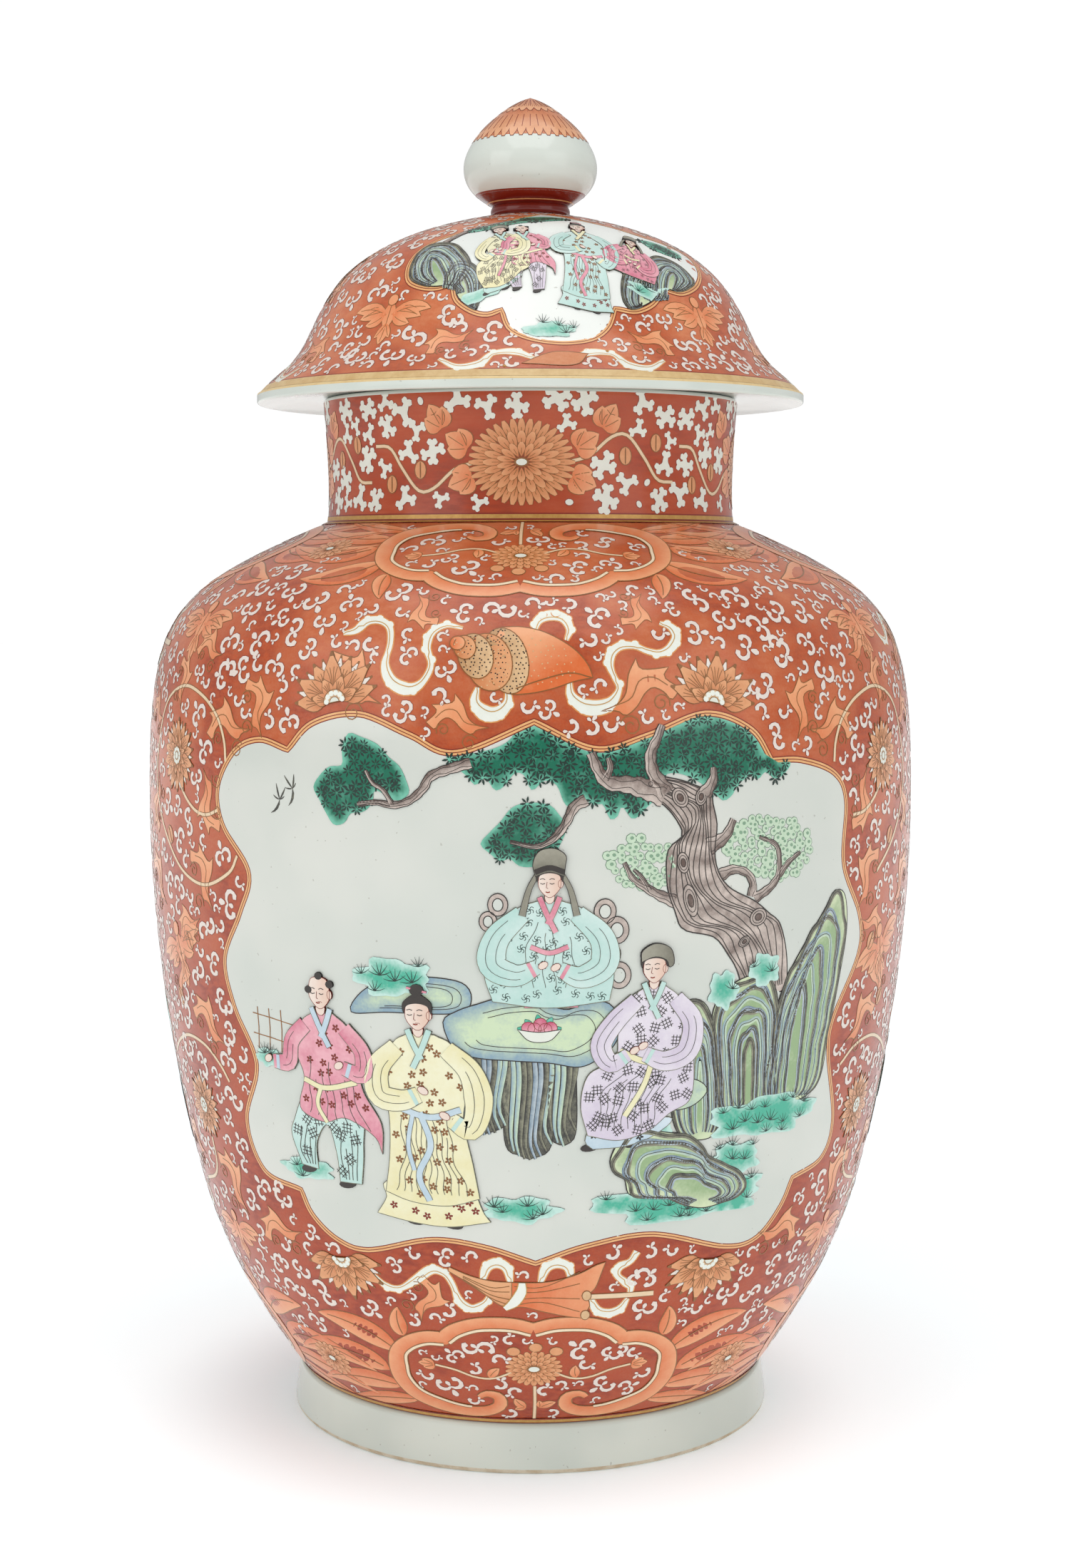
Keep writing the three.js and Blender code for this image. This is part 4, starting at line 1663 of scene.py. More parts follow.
class Hat(Enum):
    """What a figure has on its head."""

    TUFTS = "tufts of hair"
    BUN = "a bun with a pin"
    TAILED = "a cap with two tails"
    WRAP = "a wrapped cloth"


@dataclass(frozen=True)
class Person:
    """How a robed figure about 100 mm tall is drawn: outlines, strokes, and pigments."""

    coat: Points
    skirt: Points
    sleeves: tuple[tuple[Points, Sequence[float]], ...]
    folds: tuple[tuple[Points, Points, int], ...]
    sash: tuple[tuple[Points, float], ...]
    hands: Points
    shoes: Points
    head: tuple[float, float, int]
    hat: Hat
    pigments: tuple[Finish, Finish, Finish, Finish]
    marks: tuple[Patch, Finish, Patch, Finish]


class Folk(Enum):
    """The four figures of a large garden."""

    PAGE = Person(
        ((-5, 80), (-5, 80), (-12, 75), (-16, 62), (-13, 50), (-17, 38), (-15, 33), (-4, 30), (7, 33),
         (20, 26), (23, 18), (23, 18), (24, 32), (17, 46), (15, 60), (12, 74), (5, 80), (5, 80)),
        ((-15, 42), (-21, 30), (-24, 22), (-20, 8), (-20, 8), (-11, 7), (-11, 7), (-10, 20), (-3, 29),
         (0, 16), (0, 2.5), (0, 2.5), (11, 2.5), (11, 2.5), (14, 20), (14, 42)),
        ((((-10, 74), (-18, 66), (-21, 56), (-30, 55)), (9, 10, 11, 8)),
         (((10, 74), (18, 64), (17, 54), (8, 56)), (9, 10, 11, 8))),
        ((((-10, 60), (-11, 45), (-13, 34)), ((12, 60), (13, 44), (19, 28)), 7),
         (((-18, 26), (-20, 16), (-17, 9)), ((-8, 30), (-11, 18), (-12, 9)), 4),
         (((3, 28), (2, 14), (3, 4)), ((12, 30), (11, 16), (9, 4)), 4)),
        ((((-13, 49), (-2, 46), (14, 50)), 2.2), (((-4, 47), (-7, 38), (-3, 30)), 1.8)),
        ((-33, 56), (6, 57)), ((-15, 5.6), (5, 0.8)), (-1, 89, -1), Hat.TUFTS,
        (Finish.PINK, Finish.AQUA, Finish.YELLOW, Finish.PALE_BLUE),
        (BLOSSOM, Finish.RED_LINE, KNOT, INK),
    )
    HOST = Person(
        ((-6, 82), (-6, 82), (-14, 77), (-19, 60), (-17, 44), (-20, 24), (-22, 8), (-22, 8), (-8, 4),
         (8, 5), (20, 9), (20, 9), (17, 26), (16, 44), (18, 60), (13, 77), (6, 82), (6, 82)),
        ((-20, 12), (-23, 2), (-26, -3), (-26, -3), (-8, -6), (8, -5), (25, -2), (25, -2), (20, 6),
         (18, 14)),
        ((((-11, 76), (-21, 66), (-24, 52), (-20, 40), (-12, 44)), (10, 13, 16, 13, 9)),
         (((11, 76), (20, 66), (20, 54), (10, 52), (2, 55)), (10, 13, 15, 13, 9))),
        ((((-11, 46), (-13, 26), (-19, 9)), ((12, 46), (11, 26), (17, 10)), 11),),
        ((((-16, 49), (-2, 45), (15, 50)), 2.6), (((2, 47), (-2, 32), (4, 18), (0, 6)), 2.6),
         (((5, 47), (8, 32), (6, 20)), 1.8)),
        ((-9, 46), (0, 57)), ((-8, -6), (9, -5)), (1, 91, 1), Hat.BUN,
        (Finish.YELLOW, Finish.YELLOW, Finish.PALE_BLUE, Finish.AQUA),
        (BLOSSOM, BROWN, BLOSSOM, Finish.RED_LINE),
    )
    SCHOLAR = Person(
        ((-6, 46), (-6, 46), (-16, 42), (-25, 30), (-31, 12), (-27, -3), (-27, -3), (0, -6), (29, -3),
         (29, -3), (31, 12), (25, 30), (16, 42), (6, 46), (6, 46)),
        ((-8, 2), (-12, -6), (-12, -6), (14, -6), (14, -6), (10, 2)),
        ((((-13, 40), (-25, 28), (-27, 15), (-16, 10), (-6, 14)), (11, 15, 18, 15, 9)),
         (((13, 40), (25, 28), (26, 15), (15, 9), (5, 13)), (11, 15, 18, 15, 9))),
        ((((-6, 36), (-12, 22), (-14, 4)), ((7, 36), (12, 22), (14, 4)), 6),),
        ((((-9, 24), (0, 21), (9, 24)), 2.2),),
        ((-3, 15), (3, 14)), (), (0, 55, -1), Hat.TAILED,
        (Finish.AQUA, Finish.PINK, Finish.PINK, Finish.PINK),
        (SPROUT, Finish.NEEDLE, BLOSSOM, INK),
    )
    GUEST = Person(
        ((-5, 74), (-5, 74), (-13, 68), (-17, 54), (-18, 40), (-30, 33), (-33, 18), (-29, 3), (-29, 3),
         (-14, 0), (0, 4), (10, 12), (20, 18), (21, 34), (17, 54), (12, 68), (5, 74), (5, 74)),
        ((-28, 8), (-30, 0), (-26, -4), (-26, -4), (-10, -3), (4, 2), (10, 10)),
        ((((-9, 68), (-19, 58), (-25, 47), (-20, 38), (-12, 42)), (10, 12, 13, 12, 8)),
         (((10, 68), (19, 56), (17, 42), (6, 38), (-4, 42)), (10, 13, 15, 13, 9))),
        ((((-14, 34), (-24, 24), (-26, 5)), ((14, 34), (6, 22), (2, 6)), 10),),
        ((((-16, 44), (-2, 38), (18, 40)), 2.6), (((0, 39), (-4, 26), (-12, 12)), 2.4)),
        ((-9, 44), (-5, 46)), ((-26, -4), (-6, -3)), (-1, 83, -1), Hat.WRAP,
        (Finish.LAVENDER, Finish.PALE_BLUE, Finish.YELLOW, Finish.AQUA),
        (KNOT, INK, BLOSSOM, INK),
    )


@dataclass
class Garden:
    """The garden scenes in the white panels: pines, banded rocks, shrubs, grass and robed figures."""

    brush: Brush
    border: Array
    random: np.random.Generator = field(default_factory=lambda: np.random.default_rng(11))

    def held(self, points: Array) -> Array:
        """Moves what lies outside the panel onto the inner side of its border.

        Args:
            points: Flat points.

        Returns:
            The same points, none of them outside.
        """
        away = self.border - self.border.mean(axis=0)
        edge = self.border - 1.7 * away / np.linalg.norm(away, axis=1, keepdims=True)
        nearest = edge[((points[:, None] - edge[None]) ** 2).sum(axis=2).argmin(axis=1)]
        return np.where(inside(points, edge)[:, None], points, nearest)

    def sow(self, patch: Patch, pigment: Finish, outline: Array, spacing: float, up: int,
            margin: float = 0.0, turn: float = 30.0) -> None:
        """Strews a small shape over an outline.

        Args:
            patch: The shape.
            pigment: What it is painted with.
            outline: Where it goes.
            spacing: How far apart the copies are.
            up: How many layers higher it lies.
            margin: How far they stay from the outline.
            turn: The largest turn in degrees.
        """
        places = sown(outline, spacing, margin, int(self.random.integers(1, 999)))
        turns = self.random.uniform(-turn, turn, len(places))
        sizes = self.random.uniform(0.8, 1.15, len(places))
        if len(places):
            self.brush.put(patch, pigment, up, Spots.on_board(places, turns, sizes))

    def soft(self, outline: Array, pigment: Finish, up: int, depth: float) -> None:
        """Fills an outline with a wash that is pale at its edge and deepens over a few millimetres."""
        wash = filled(outline, lambda p: np.clip(clearance(p, outline) / depth, 0, 1), 2.6)
        self.brush.put(wash, pigment, up)

    def pine(self, *points: Point) -> None:
        """Draws a mass of pine twigs: a soft teal wash under small dark rosettes."""
        outline = self.held(smooth(points, closed=True, step=1.8))
        self.soft(outline, Finish.PINE, 6, 3.4)
        self.sow(ROSETTE, Finish.NEEDLE, outline, 4.9, 7, 0.7, 180)

    def grass(self, x: float, y: float, wide: float, high: float) -> None:
        """Draws a patch of grass: a soft turquoise wash with a ragged edge under spiky tufts.

        Args:
            x: The middle's place to the right.
            y: The middle's height.
            wide: Half the width.
            high: Half the height.
        """
        angle = np.linspace(0, 2 * np.pi, 44, endpoint=False)
        ragged = 1 + 0.12 * np.sin(5 * angle + x) + 0.09 * np.sin(9 * angle + y)
        outline = self.held(np.c_[x + wide * ragged * np.cos(angle), y + high * ragged * np.sin(angle)])
        self.soft(outline, Finish.GRASS, 12, 4.0)
        self.sow(TUFT, Finish.NEEDLE, self.held(outline * [0.96, 0.9] + [x * 0.04, y * 0.1]), 7.4, 13,
                 turn=20)

    def shrub(self, *points: Point) -> None:
        """Draws a cloud of round pale leaves, each with a darker rim and a heart.

        Args:
            points: What its outline goes through.
        """
        outline = self.held(smooth(points, closed=True, step=3))
        rim = filled(ellipse(0, 0, 2.2, 2.1, steps=8), 0.7)
        leaf = filled(ellipse(0, 0, 1.95, 1.85, steps=8), 0.2)
        heart = filled(ellipse(0.3, 0.2, 0.8, 0.7, steps=6), 0.2)
        state = self.random.bit_generator.state
        for patch, pigment, up in ((rim, Finish.GRASS_DARK, 2), (leaf, Finish.PALE_GREEN, 3),
                                   (heart, Finish.GRASS_DARK, 4)):
            self.random.bit_generator.state = state
            self.sow(patch, pigment, outline, 3.5, up)

    def branch(self, points: Points, widths: Sequence[float], grain: int = 2, up: int = 4) -> None:
        """Draws a branch with a few lines of bark.

        Args:
            points: What it goes through.
            widths: Its widths, spread evenly.
            grain: The number of bark lines.
            up: How many layers higher it lies.
        """
        path = smooth(points, step=1.6)
        swell = taper(path, *widths) * (1 + 0.1 * np.sin(np.arange(len(path)) * 1.9))
        self.brush.edged(path, swell, Finish.BARK, INK, 0.35, up, (0.1, 0.9))
        side = leftward(path)
        for share in np.linspace(-0.25, 0.25, grain):
            wave = share + 0.1 * np.sin(np.arange(len(path)) * 0.9 + share * 9)
            self.brush.line(path + side * (swell * wave)[:, None], 0.25, INK, up + 2, 0.2)

    def trunk(self, left: Points, right: Points, lines: int, knots: Points) -> None:
        """Draws a thick trunk between its two sides, with bark that flows along it and ringed knots.

        Args:
            left: What the left side goes through, from the ground up.
            right: What the right side goes through.
            lines: The number of bark lines.
            knots: Each knot's middle, half width, half height and turn.
        """
        steps = 48
        one, two = (picked(smooth(side, step=1.0), steps) for side in (left, right))
        outline = np.vstack([one, two[::-1]])
        self.brush.area(outline, Finish.BARK, INK, 4, 0.55, lambda p: 0.35 + 0.35 * np.sin(p[:, 0] * 0.9))
        for share in np.linspace(0.08, 0.92, lines):
            wave = np.clip(share + 0.05 * np.sin(np.arange(steps) * 0.42 + 11 * share), 0.04, 0.96)[:, None]
            self.brush.line((one * (1 - wave) + two * wave)[1:-1], 0.4, INK, 6, 0.2)
        for x, y, wide, high, turn in knots:
            self.brush.area(ellipse(x, y, wide, high, turn, 16), Finish.BARK, INK, 7, 0.4, 0.3)
            self.brush.line(ellipse(x, y, wide * 0.72, high * 0.72, turn, 14), 0.28, INK, 9, closed=True)
            self.brush.area(ellipse(x, y, wide * 0.42, high * 0.42, turn, 10), Finish.BARK, INK, 9, 0.3,
                            1.0)

    def rock(self, points: Points, focus: Point, bands: int = 9, narrow: float = 0.1,
             low: float = 0.5, up: int = 8) -> None:
        """Draws a rock: a pale green wash under arches from foot to foot, one inside the other.

        Args:
            points: What the outline goes through.
            focus: Where the arches close in.
            bands: The number of arches.
            narrow: The innermost arch's width, as a share of the rock's.
            low: Its height, as a share of the rock's.
            up: How many layers higher it lies.
        """
        outline = self.held(smooth(points, closed=True, step=1.8))
        self.brush.area(outline, Finish.ROCK_GREEN, INK, up, 0.45,
                        lambda p: np.clip(clearance(p, outline) / 9, 0, 1), 3.5)
        arch = np.roll(outline, -int(np.argmin(np.hypot(*(outline - focus).T))), axis=0)
        ends = int(len(arch) * 0.05)
        for band in range(bands):
            share = (band + 0.5 + 0.4 * math.sin(2.1 * band)) / bands
            ripple = 1 + 0.02 * np.sin(np.arange(len(arch)) * 0.5 + band)[:, None]
            ring = (arch - focus) * [1 - (1 - narrow) * share, 1 - (1 - low) * share] * ripple + focus
            ring = ring[ends:-ends]
            swell = 0.5 + 1.7 * np.sin(np.linspace(0.15, 3.0, len(ring))) ** 0.7
            self.brush.line(ring, swell, ROCK_TONES[band % len(ROCK_TONES)], up + 2, (0.9, 0.2))
            self.brush.line(ring + 0.02, 0.28, INK, up + 3, 0.3)

    def table(self) -> None:
        """Draws a stone table: a hanging side of curved strands in three columns, and a pale green slab."""
        for left, right, foot in ((-31, -9, -59), (8, 18, -64), (-10, 8, -70)):
            middle = (left + right) / 2
            cloth = smooth((
                (left - 1, -20), (left - 1, -20), (right + 1, -20), (right + 1, -20),
                (right + 1.5, foot + 9), (middle + 3, foot + 1), (middle - 3, foot + 2),
                (left - 0.5, foot + 9),
            ), True, 2.4)
            self.brush.area(cloth, CHARCOAL, INK, 3, 0.4, 0.8)
            count = max(3, int((right - left) / 2.0))
            for number, x in enumerate(np.linspace(left, right, count)):
                across = 2 * number / (count - 1) - 1
                end = foot + 7 * across ** 2
                strand = smooth(((x, -20), (x + 1.2, end * 0.5), (x - 0.8 - across, end + 9),
                                 (x + 1.2, end)), step=3)
                tone = ROCK_TONES[number * 3 % len(ROCK_TONES)]
                self.brush.edged(strand, taper(strand, 1.7, 2.0, 1.7, 0.8), tone, INK, 0.2,
                                 4 + 2 * (number % 2), (0.2, 0.95))
        back = smooth(((-77, -8), (-72, 1), (-60, 7), (-44, 9), (-28, 7), (-24, 0), (-30, -6), (-60, -7)),
                      True, 2.2)
        slab = smooth(((-36, -10), (-30, -5), (-22, -2), (-12, 1), (2, 2), (8, -2), (16, -4), (24, -1),
                       (33, -2), (38, -11), (35, -20), (28, -26), (20, -29), (8, -27), (-8, -26),
                       (-22, -25), (-31, -22)), True, 2.2)
        for outline, up in ((back, 3), (slab, 8)):
            middle = outline.mean(axis=0)
            self.brush.area(outline, Finish.SLAB, INK, up, 0.45,
                            lambda p: np.clip(1.1 - clearance(p, outline) / 7, 0, 1), 3.2)
            for size in (0.84, 0.7):
                crack = (outline - middle) * [size, size - 0.14] + middle
                self.brush.line(crack[int(9 * size):-4], 0.28, INK, up + 2, 0.1)

    def bowl(self, x: float, y: float) -> None:
        """Draws a footed bowl of peaches with leaves.

        Args:
            x: The middle's place to the right.
            y: The middle's height.
        """
        leaf = leaf_width(5, 2.6)
        for dx, dy, turn in ((-8, 1, 70), (-5, 3.4, 40), (8, 1, -70), (5, 4, -30), (0, 5, 10)):
            path = placed(bent(4.6, 0, 4), turn, x + dx * 0.6, y + dy * 0.7)
            self.brush.edged(path, leaf, Finish.GRASS, Finish.NEEDLE, 0.2, 10, 0.9)
        for dx, dy in ((-4.6, 2.2), (4.6, 2.2), (0.4, 3.8), (-2, 1.8), (2.4, 1.6)):
            peach = ellipse(x + dx, y + dy, 2.8, 2.7, steps=12)
            self.brush.area(peach, Finish.PINK, Finish.RED_LINE, 12, 0.22, fade(-y / 5, 0, 0.2))
        dish = smooth(((x - 9, y + 1.5), (x - 9, y + 1.5), (x, y + 0.4), (x + 9, y + 1.5), (x + 9, y + 1.5),
                       (x + 4, y - 3.4), (x - 4, y - 3.4)), True, 1.5)
        self.brush.area(dish, Finish.RIBBON, INK, 14, 0.3)

    def bird(self, x: float, y: float, turn: float) -> None:
        """Draws a small bird on the wing."""
        hand = self.brush.on(x, y, turn=turn, up=2)
        for side, length, wide in ((20, 7, 0.8), (-35, 6, 0.8), (75, 4, 0.6), (165, 8, 1.2), (-70, 3, 0.5)):
            hand.line(placed(bent(length, side * 0.3, 4), side), leaf_width(5, wide), CHARCOAL, 0, 0.9)

    def person(self, folk: Folk, x: float, y: float, size: float = 1.0, mirror: bool = False,
               dress: tuple[Finish, ...] = ()) -> None:
        """Draws a robed figure with a calm, plain face; the layers go from the shoes to the cap.

        Args:
            folk: Which figure.
            x: Its place to the right.
            y: Its height.
            size: Its scale.
            mirror: Whether it faces the other way.
            dress: Other pigments for its coat, skirt, belt and collar.
        """
        who = folk.value
        hand = self.brush.on(x, y, size=size, mirror=mirror, up=15)
        coat, skirt, belt, collar = dress or who.pigments
        for at in who.shoes:
            hand.area(ellipse(at[0] - 1.5, at[1] + 0.8, 4.4, 1.9, 8, 12), INK, up=0)
        for outline, pigment, up, (mark, tone) in (
            (who.skirt, skirt, 1, who.marks[2:]), (who.coat, coat, 3, who.marks[:2]),
        ):
            shape = smooth(outline, True, 2.0)
            slope = 0.5 / np.ptp(shape[:, 1])
            hand.area(shape, pigment, CHARCOAL, up, 0.32, fade(slope * shape[:, 1].max(), 0, -slope))
            places = sown(shape, 7.8, 2.0, 7)
            hand.put(mark, tone, up + 1, Spots.on_board(places, 40 * np.arange(len(places)), 1.15))
        for left, right, count in who.folds:
            one, two = (smooth(guide, step=2)[: 40] for guide in (left, right))
            steps = min(len(one), len(two))
            one, two = picked(one, steps), picked(two, steps)
            for number, share in enumerate(np.linspace(0.04, 0.96, count)):
                start = (number * 5) % 7 % (steps // 2)
                wave = share + 0.03 * np.sin(np.arange(steps) * 0.7 + 5 * share)[:, None]
                hand.line((one * (1 - wave) + two * wave)[start:], 0.28, CHARCOAL, 5, 0.9)
        for path, wide in who.sash:
            hand.edged(smooth(path, step=2), wide, belt, CHARCOAL, 0.28, 5)
        for path, widths in who.sleeves:
            arm = smooth(path, step=1.8)
            swell = 0.76 * taper(arm, *widths)
            hand.edged(arm, swell, coat, CHARCOAL, 0.32, 7, (0.1, 0.6))
            side = leftward(arm)
            for share, first, last in ((-0.2, 4, -5), (0.16, 7, -3)):
                hand.line((arm + side * (swell * share)[:, None])[first:last], 0.24, CHARCOAL, 9, 0.9)
            hand.edged(arm[-3:-1], swell[-3:-1] * 0.96, collar, CHARCOAL, 0.25, 9)
        for px, py in who.hands:
            hand.area(ellipse(px, py, 2.5, 1.7, 30, 10), Finish.SKIN, Finish.RED_LINE, 11, 0.22)
        top = np.array([who.head[0], who.head[1] - 88.0])
        for ends in (((-4.8, 81), (-1, 72), (3, 64)), ((4.8, 81), (2, 74), (-1, 68))):
            hand.edged(smooth(np.array(ends) + top, step=2.5), 2.4, collar, CHARCOAL, 0.28, 11)
        self.head(hand.on(who.head[0], who.head[1], up=12), who.head[2], who.hat)

    @staticmethod
    def head(hand: Brush, look: int, hat: Hat) -> None:
        """Draws a plain oval head with level brows, lowered eyes, a straight nose and a small mouth.

        Args:
            hand: The hand, at the head's middle.
            look: 1 for a look to the right, or -1.
            hat: What is on the head.
        """
        hand.area(ellipse(0, -7, 2.4, 3.2, steps=10), Finish.SKIN, Finish.RED_LINE, 0, 0.22)
        hand.area(ellipse(-look * 5.2, -0.6, 1.2, 2.0, steps=10), Finish.SKIN, Finish.RED_LINE, 1, 0.22)
        face = smooth(((-5.2, 2), (-4.8, -3), (0, -7.2), (4.8, -3), (5.2, 2), (3.4, 6.4), (-3.4, 6.4)),
                      True, 1.4)
        hand.area(face, Finish.SKIN, Finish.RED_LINE, 2, 0.22, fade(0.5, -0.12 * look))
        for side in (-1, 1):
            at = [look * 1.1, 0.0]
            hand.line(np.array([(1.0, 1.5), (2.1, 2.0), (3.5, 1.6)]) * [side, 1] + at, 0.3, INK, 4)
            hand.line(np.array([(1.1, -0.3), (2.2, -0.7), (3.3, -0.3)]) * [side, 1] + at, 0.32, INK, 4)
        hand.line(np.array([(0.6, 0.4), (1.0, -2.4), (0.2, -2.8)]) * [look, 1] + [look * 0.6, 0], 0.22,
                  Finish.RED_LINE, 4)
        hand.line(np.array([(-1.0, -4.4), (0, -4.7), (1.0, -4.4)]) + [look * 0.9, 0], 0.5, Finish.RED_LINE,
                  4, 0.0)
        hair = smooth(((-6, 0), (-6.2, 5), (0, 8.8), (6.2, 5), (6, 0), (4.6, 3.4), (0, 4.6), (-4.6, 3.4)),
                      True, 1.3)
        if hat is not Hat.TUFTS:
            hand.area(hair, INK, up=4, wash=0.3)
        if hat is Hat.TUFTS:
            for x, y in ((-5.6, 1), (5.4, 4), (0, 7.4)):
                hand.area(ellipse(x, y, 1.9, 1.7, steps=10), INK, up=4)
        elif hat is Hat.BUN:
            hand.area(ellipse(0, 10.4, 3.2, 2.6, steps=12), INK, up=5)
            hand.line(np.array([(-4.4, 9.6), (4.4, 11.4)]), 0.8, Finish.PINK, 6)
        elif hat is Hat.TAILED:
            for side in (-1, 1):
                tail = smooth(((side * 6, 4), (side * 10, -4), (side * 13, -16)), step=2)
                hand.edged(tail, taper(tail, 1.8, 2.4, 3.0), Finish.GREY_CLOTH, INK, 0.28, 0)
            crown = smooth(((-6.8, 3), (-6.8, 3), (-8, 9), (-5, 15), (2, 16.4), (7.6, 13), (7.4, 8),
                            (6.8, 3), (6.8, 3), (0, 5)), True, 1.4)
            hand.area(crown, Finish.GREY_CLOTH, INK, 6, 0.35, fade(14 / 9, 0, -1 / 9))
            hand.line(smooth(((-7, 5), (0, 7.2), (7, 5)), step=2), 2.6, INK, 8, 0.4)
        else:
            wrap = smooth(((-6.4, 3), (-6.4, 3), (-6.2, 8), (0, 11.4), (7.4, 9), (9.4, 2), (7, 0),
                           (5.6, 3.4), (0, 5.2)), True, 1.4)
            hand.area(wrap, Finish.GREY_CLOTH, INK, 6, 0.35, fade(0.2, 1 / 12))


MAIN_PANEL: Points = (
    (0.6, 339.7), (8.6, 328.6), (15.5, 333.6), (24.0, 342.2), (31.0, 335.0), (34.3, 321.6), (34.3, 321.6),
    (39.9, 320.8), (46.6, 314.0), (49.2, 301.5), (48.9, 274.0), (53.9, 249.7), (54.4, 232.5), (49.3, 206.2),
    (49.3, 188.8), (53.7, 157.1), (52.5, 140.5), (45.2, 134.9), (45.2, 134.9), (43.6, 122.4), (39.4, 109.8),
    (32.9, 108.6), (19.4, 119.2), (9.0, 116.0), (0.9, 108.2), (0.9, 108.2), (-7.0, 115.5), (-15.4, 117.6),
    (-26.4, 109.6), (-32.1, 112.4), (-36.3, 122.1), (-37.8, 133.0), (-37.8, 133.0), (-45.7, 138.3),
    (-47.9, 160.2), (-43.4, 187.6), (-47.0, 212.0), (-48.2, 232.7), (-44.0, 254.0), (-41.7, 272.6),
    (-47.2, 292.0), (-48.2, 308.1), (-44.6, 324.0), (-39.6, 329.6), (-34.4, 326.1), (-34.4, 326.1),
    (-30.4, 337.6), (-23.3, 342.0), (-16.0, 334.0), (-9.7, 326.9),
)
SIDE_HALF: Points = (
    (4, 211), (9, 213), (11.5, 202), (11.5, 202), (14, 190), (10.5, 175), (10.5, 175), (14, 160),
    (11.5, 145), (11.5, 145), (9, 131), (4, 133),
)
SIDE_PANEL: Points = (
    (0, 219), *SIDE_HALF, (0, 125), (0, 125), *((-angle, height) for angle, height in SIDE_HALF[::-1]),
)
COVER_PANEL: Points = (
    (0.0, 562.0), (-12.0, 558.7), (-23.5, 554.1), (-33.0, 550.5), (-41.0, 546.6), (-44.4, 541.0),
    (-44.2, 534.0), (-41.4, 527.0), (-36.5, 523.6), (-31.6, 522.8), (-27.6, 524.6), (-27.6, 524.6),
    (-25.6, 517.0), (-21.4, 512.0), (-17.4, 510.2), (-13.9, 512.2), (-13.9, 512.2), (-11.8, 504.0),
    (-7.6, 499.8), (-2.6, 497.8), (2.2, 497.6), (7.4, 499.6), (11.6, 505.0), (14.2, 513.4), (14.2, 513.4),
    (19.4, 512.4), (24.2, 515.2), (27.6, 519.4), (29.4, 524.0), (29.4, 524.0), (36.0, 522.3),
    (43.0, 525.6), (49.2, 530.8), (54.2, 536.6), (56.8, 542.6), (51.6, 547.4), (41.0, 550.6),
    (32.6, 554.4), (22.4, 557.6), (13.0, 560.6),
)


def panel(brush: Brush, places: Points, mirror: bool = False, ground: Finish = Finish.RESERVE) -> Array:
    """Lays a white panel with its gold border between two dark lines.

    Args:
        brush: The hand, on the panel's board.
        places: The outline's angles and heights.
        mirror: Whether the outline is mirrored.
        ground: The panel's white.

    Returns:
        The outline on the board.
    """
    flat = brush.chart.local([(-angle if mirror else angle, height) for angle, height in places])
    outline = smooth(flat, closed=True, step=2.4)
    brush.area(outline, ground, spacing=5.5)
    brush.line(outline, 3.0, Finish.RED_LINE, closed=True)
    brush.line(outline, 2.1, Finish.BORDER, 1, 0.4, closed=True)
    brush.line(outline, 0.35, Finish.RED_LINE, 2, closed=True)
    brush.painting.keep_clear(brush.chart, outline)
    return outline * [-1 if mirror else 1, 1]


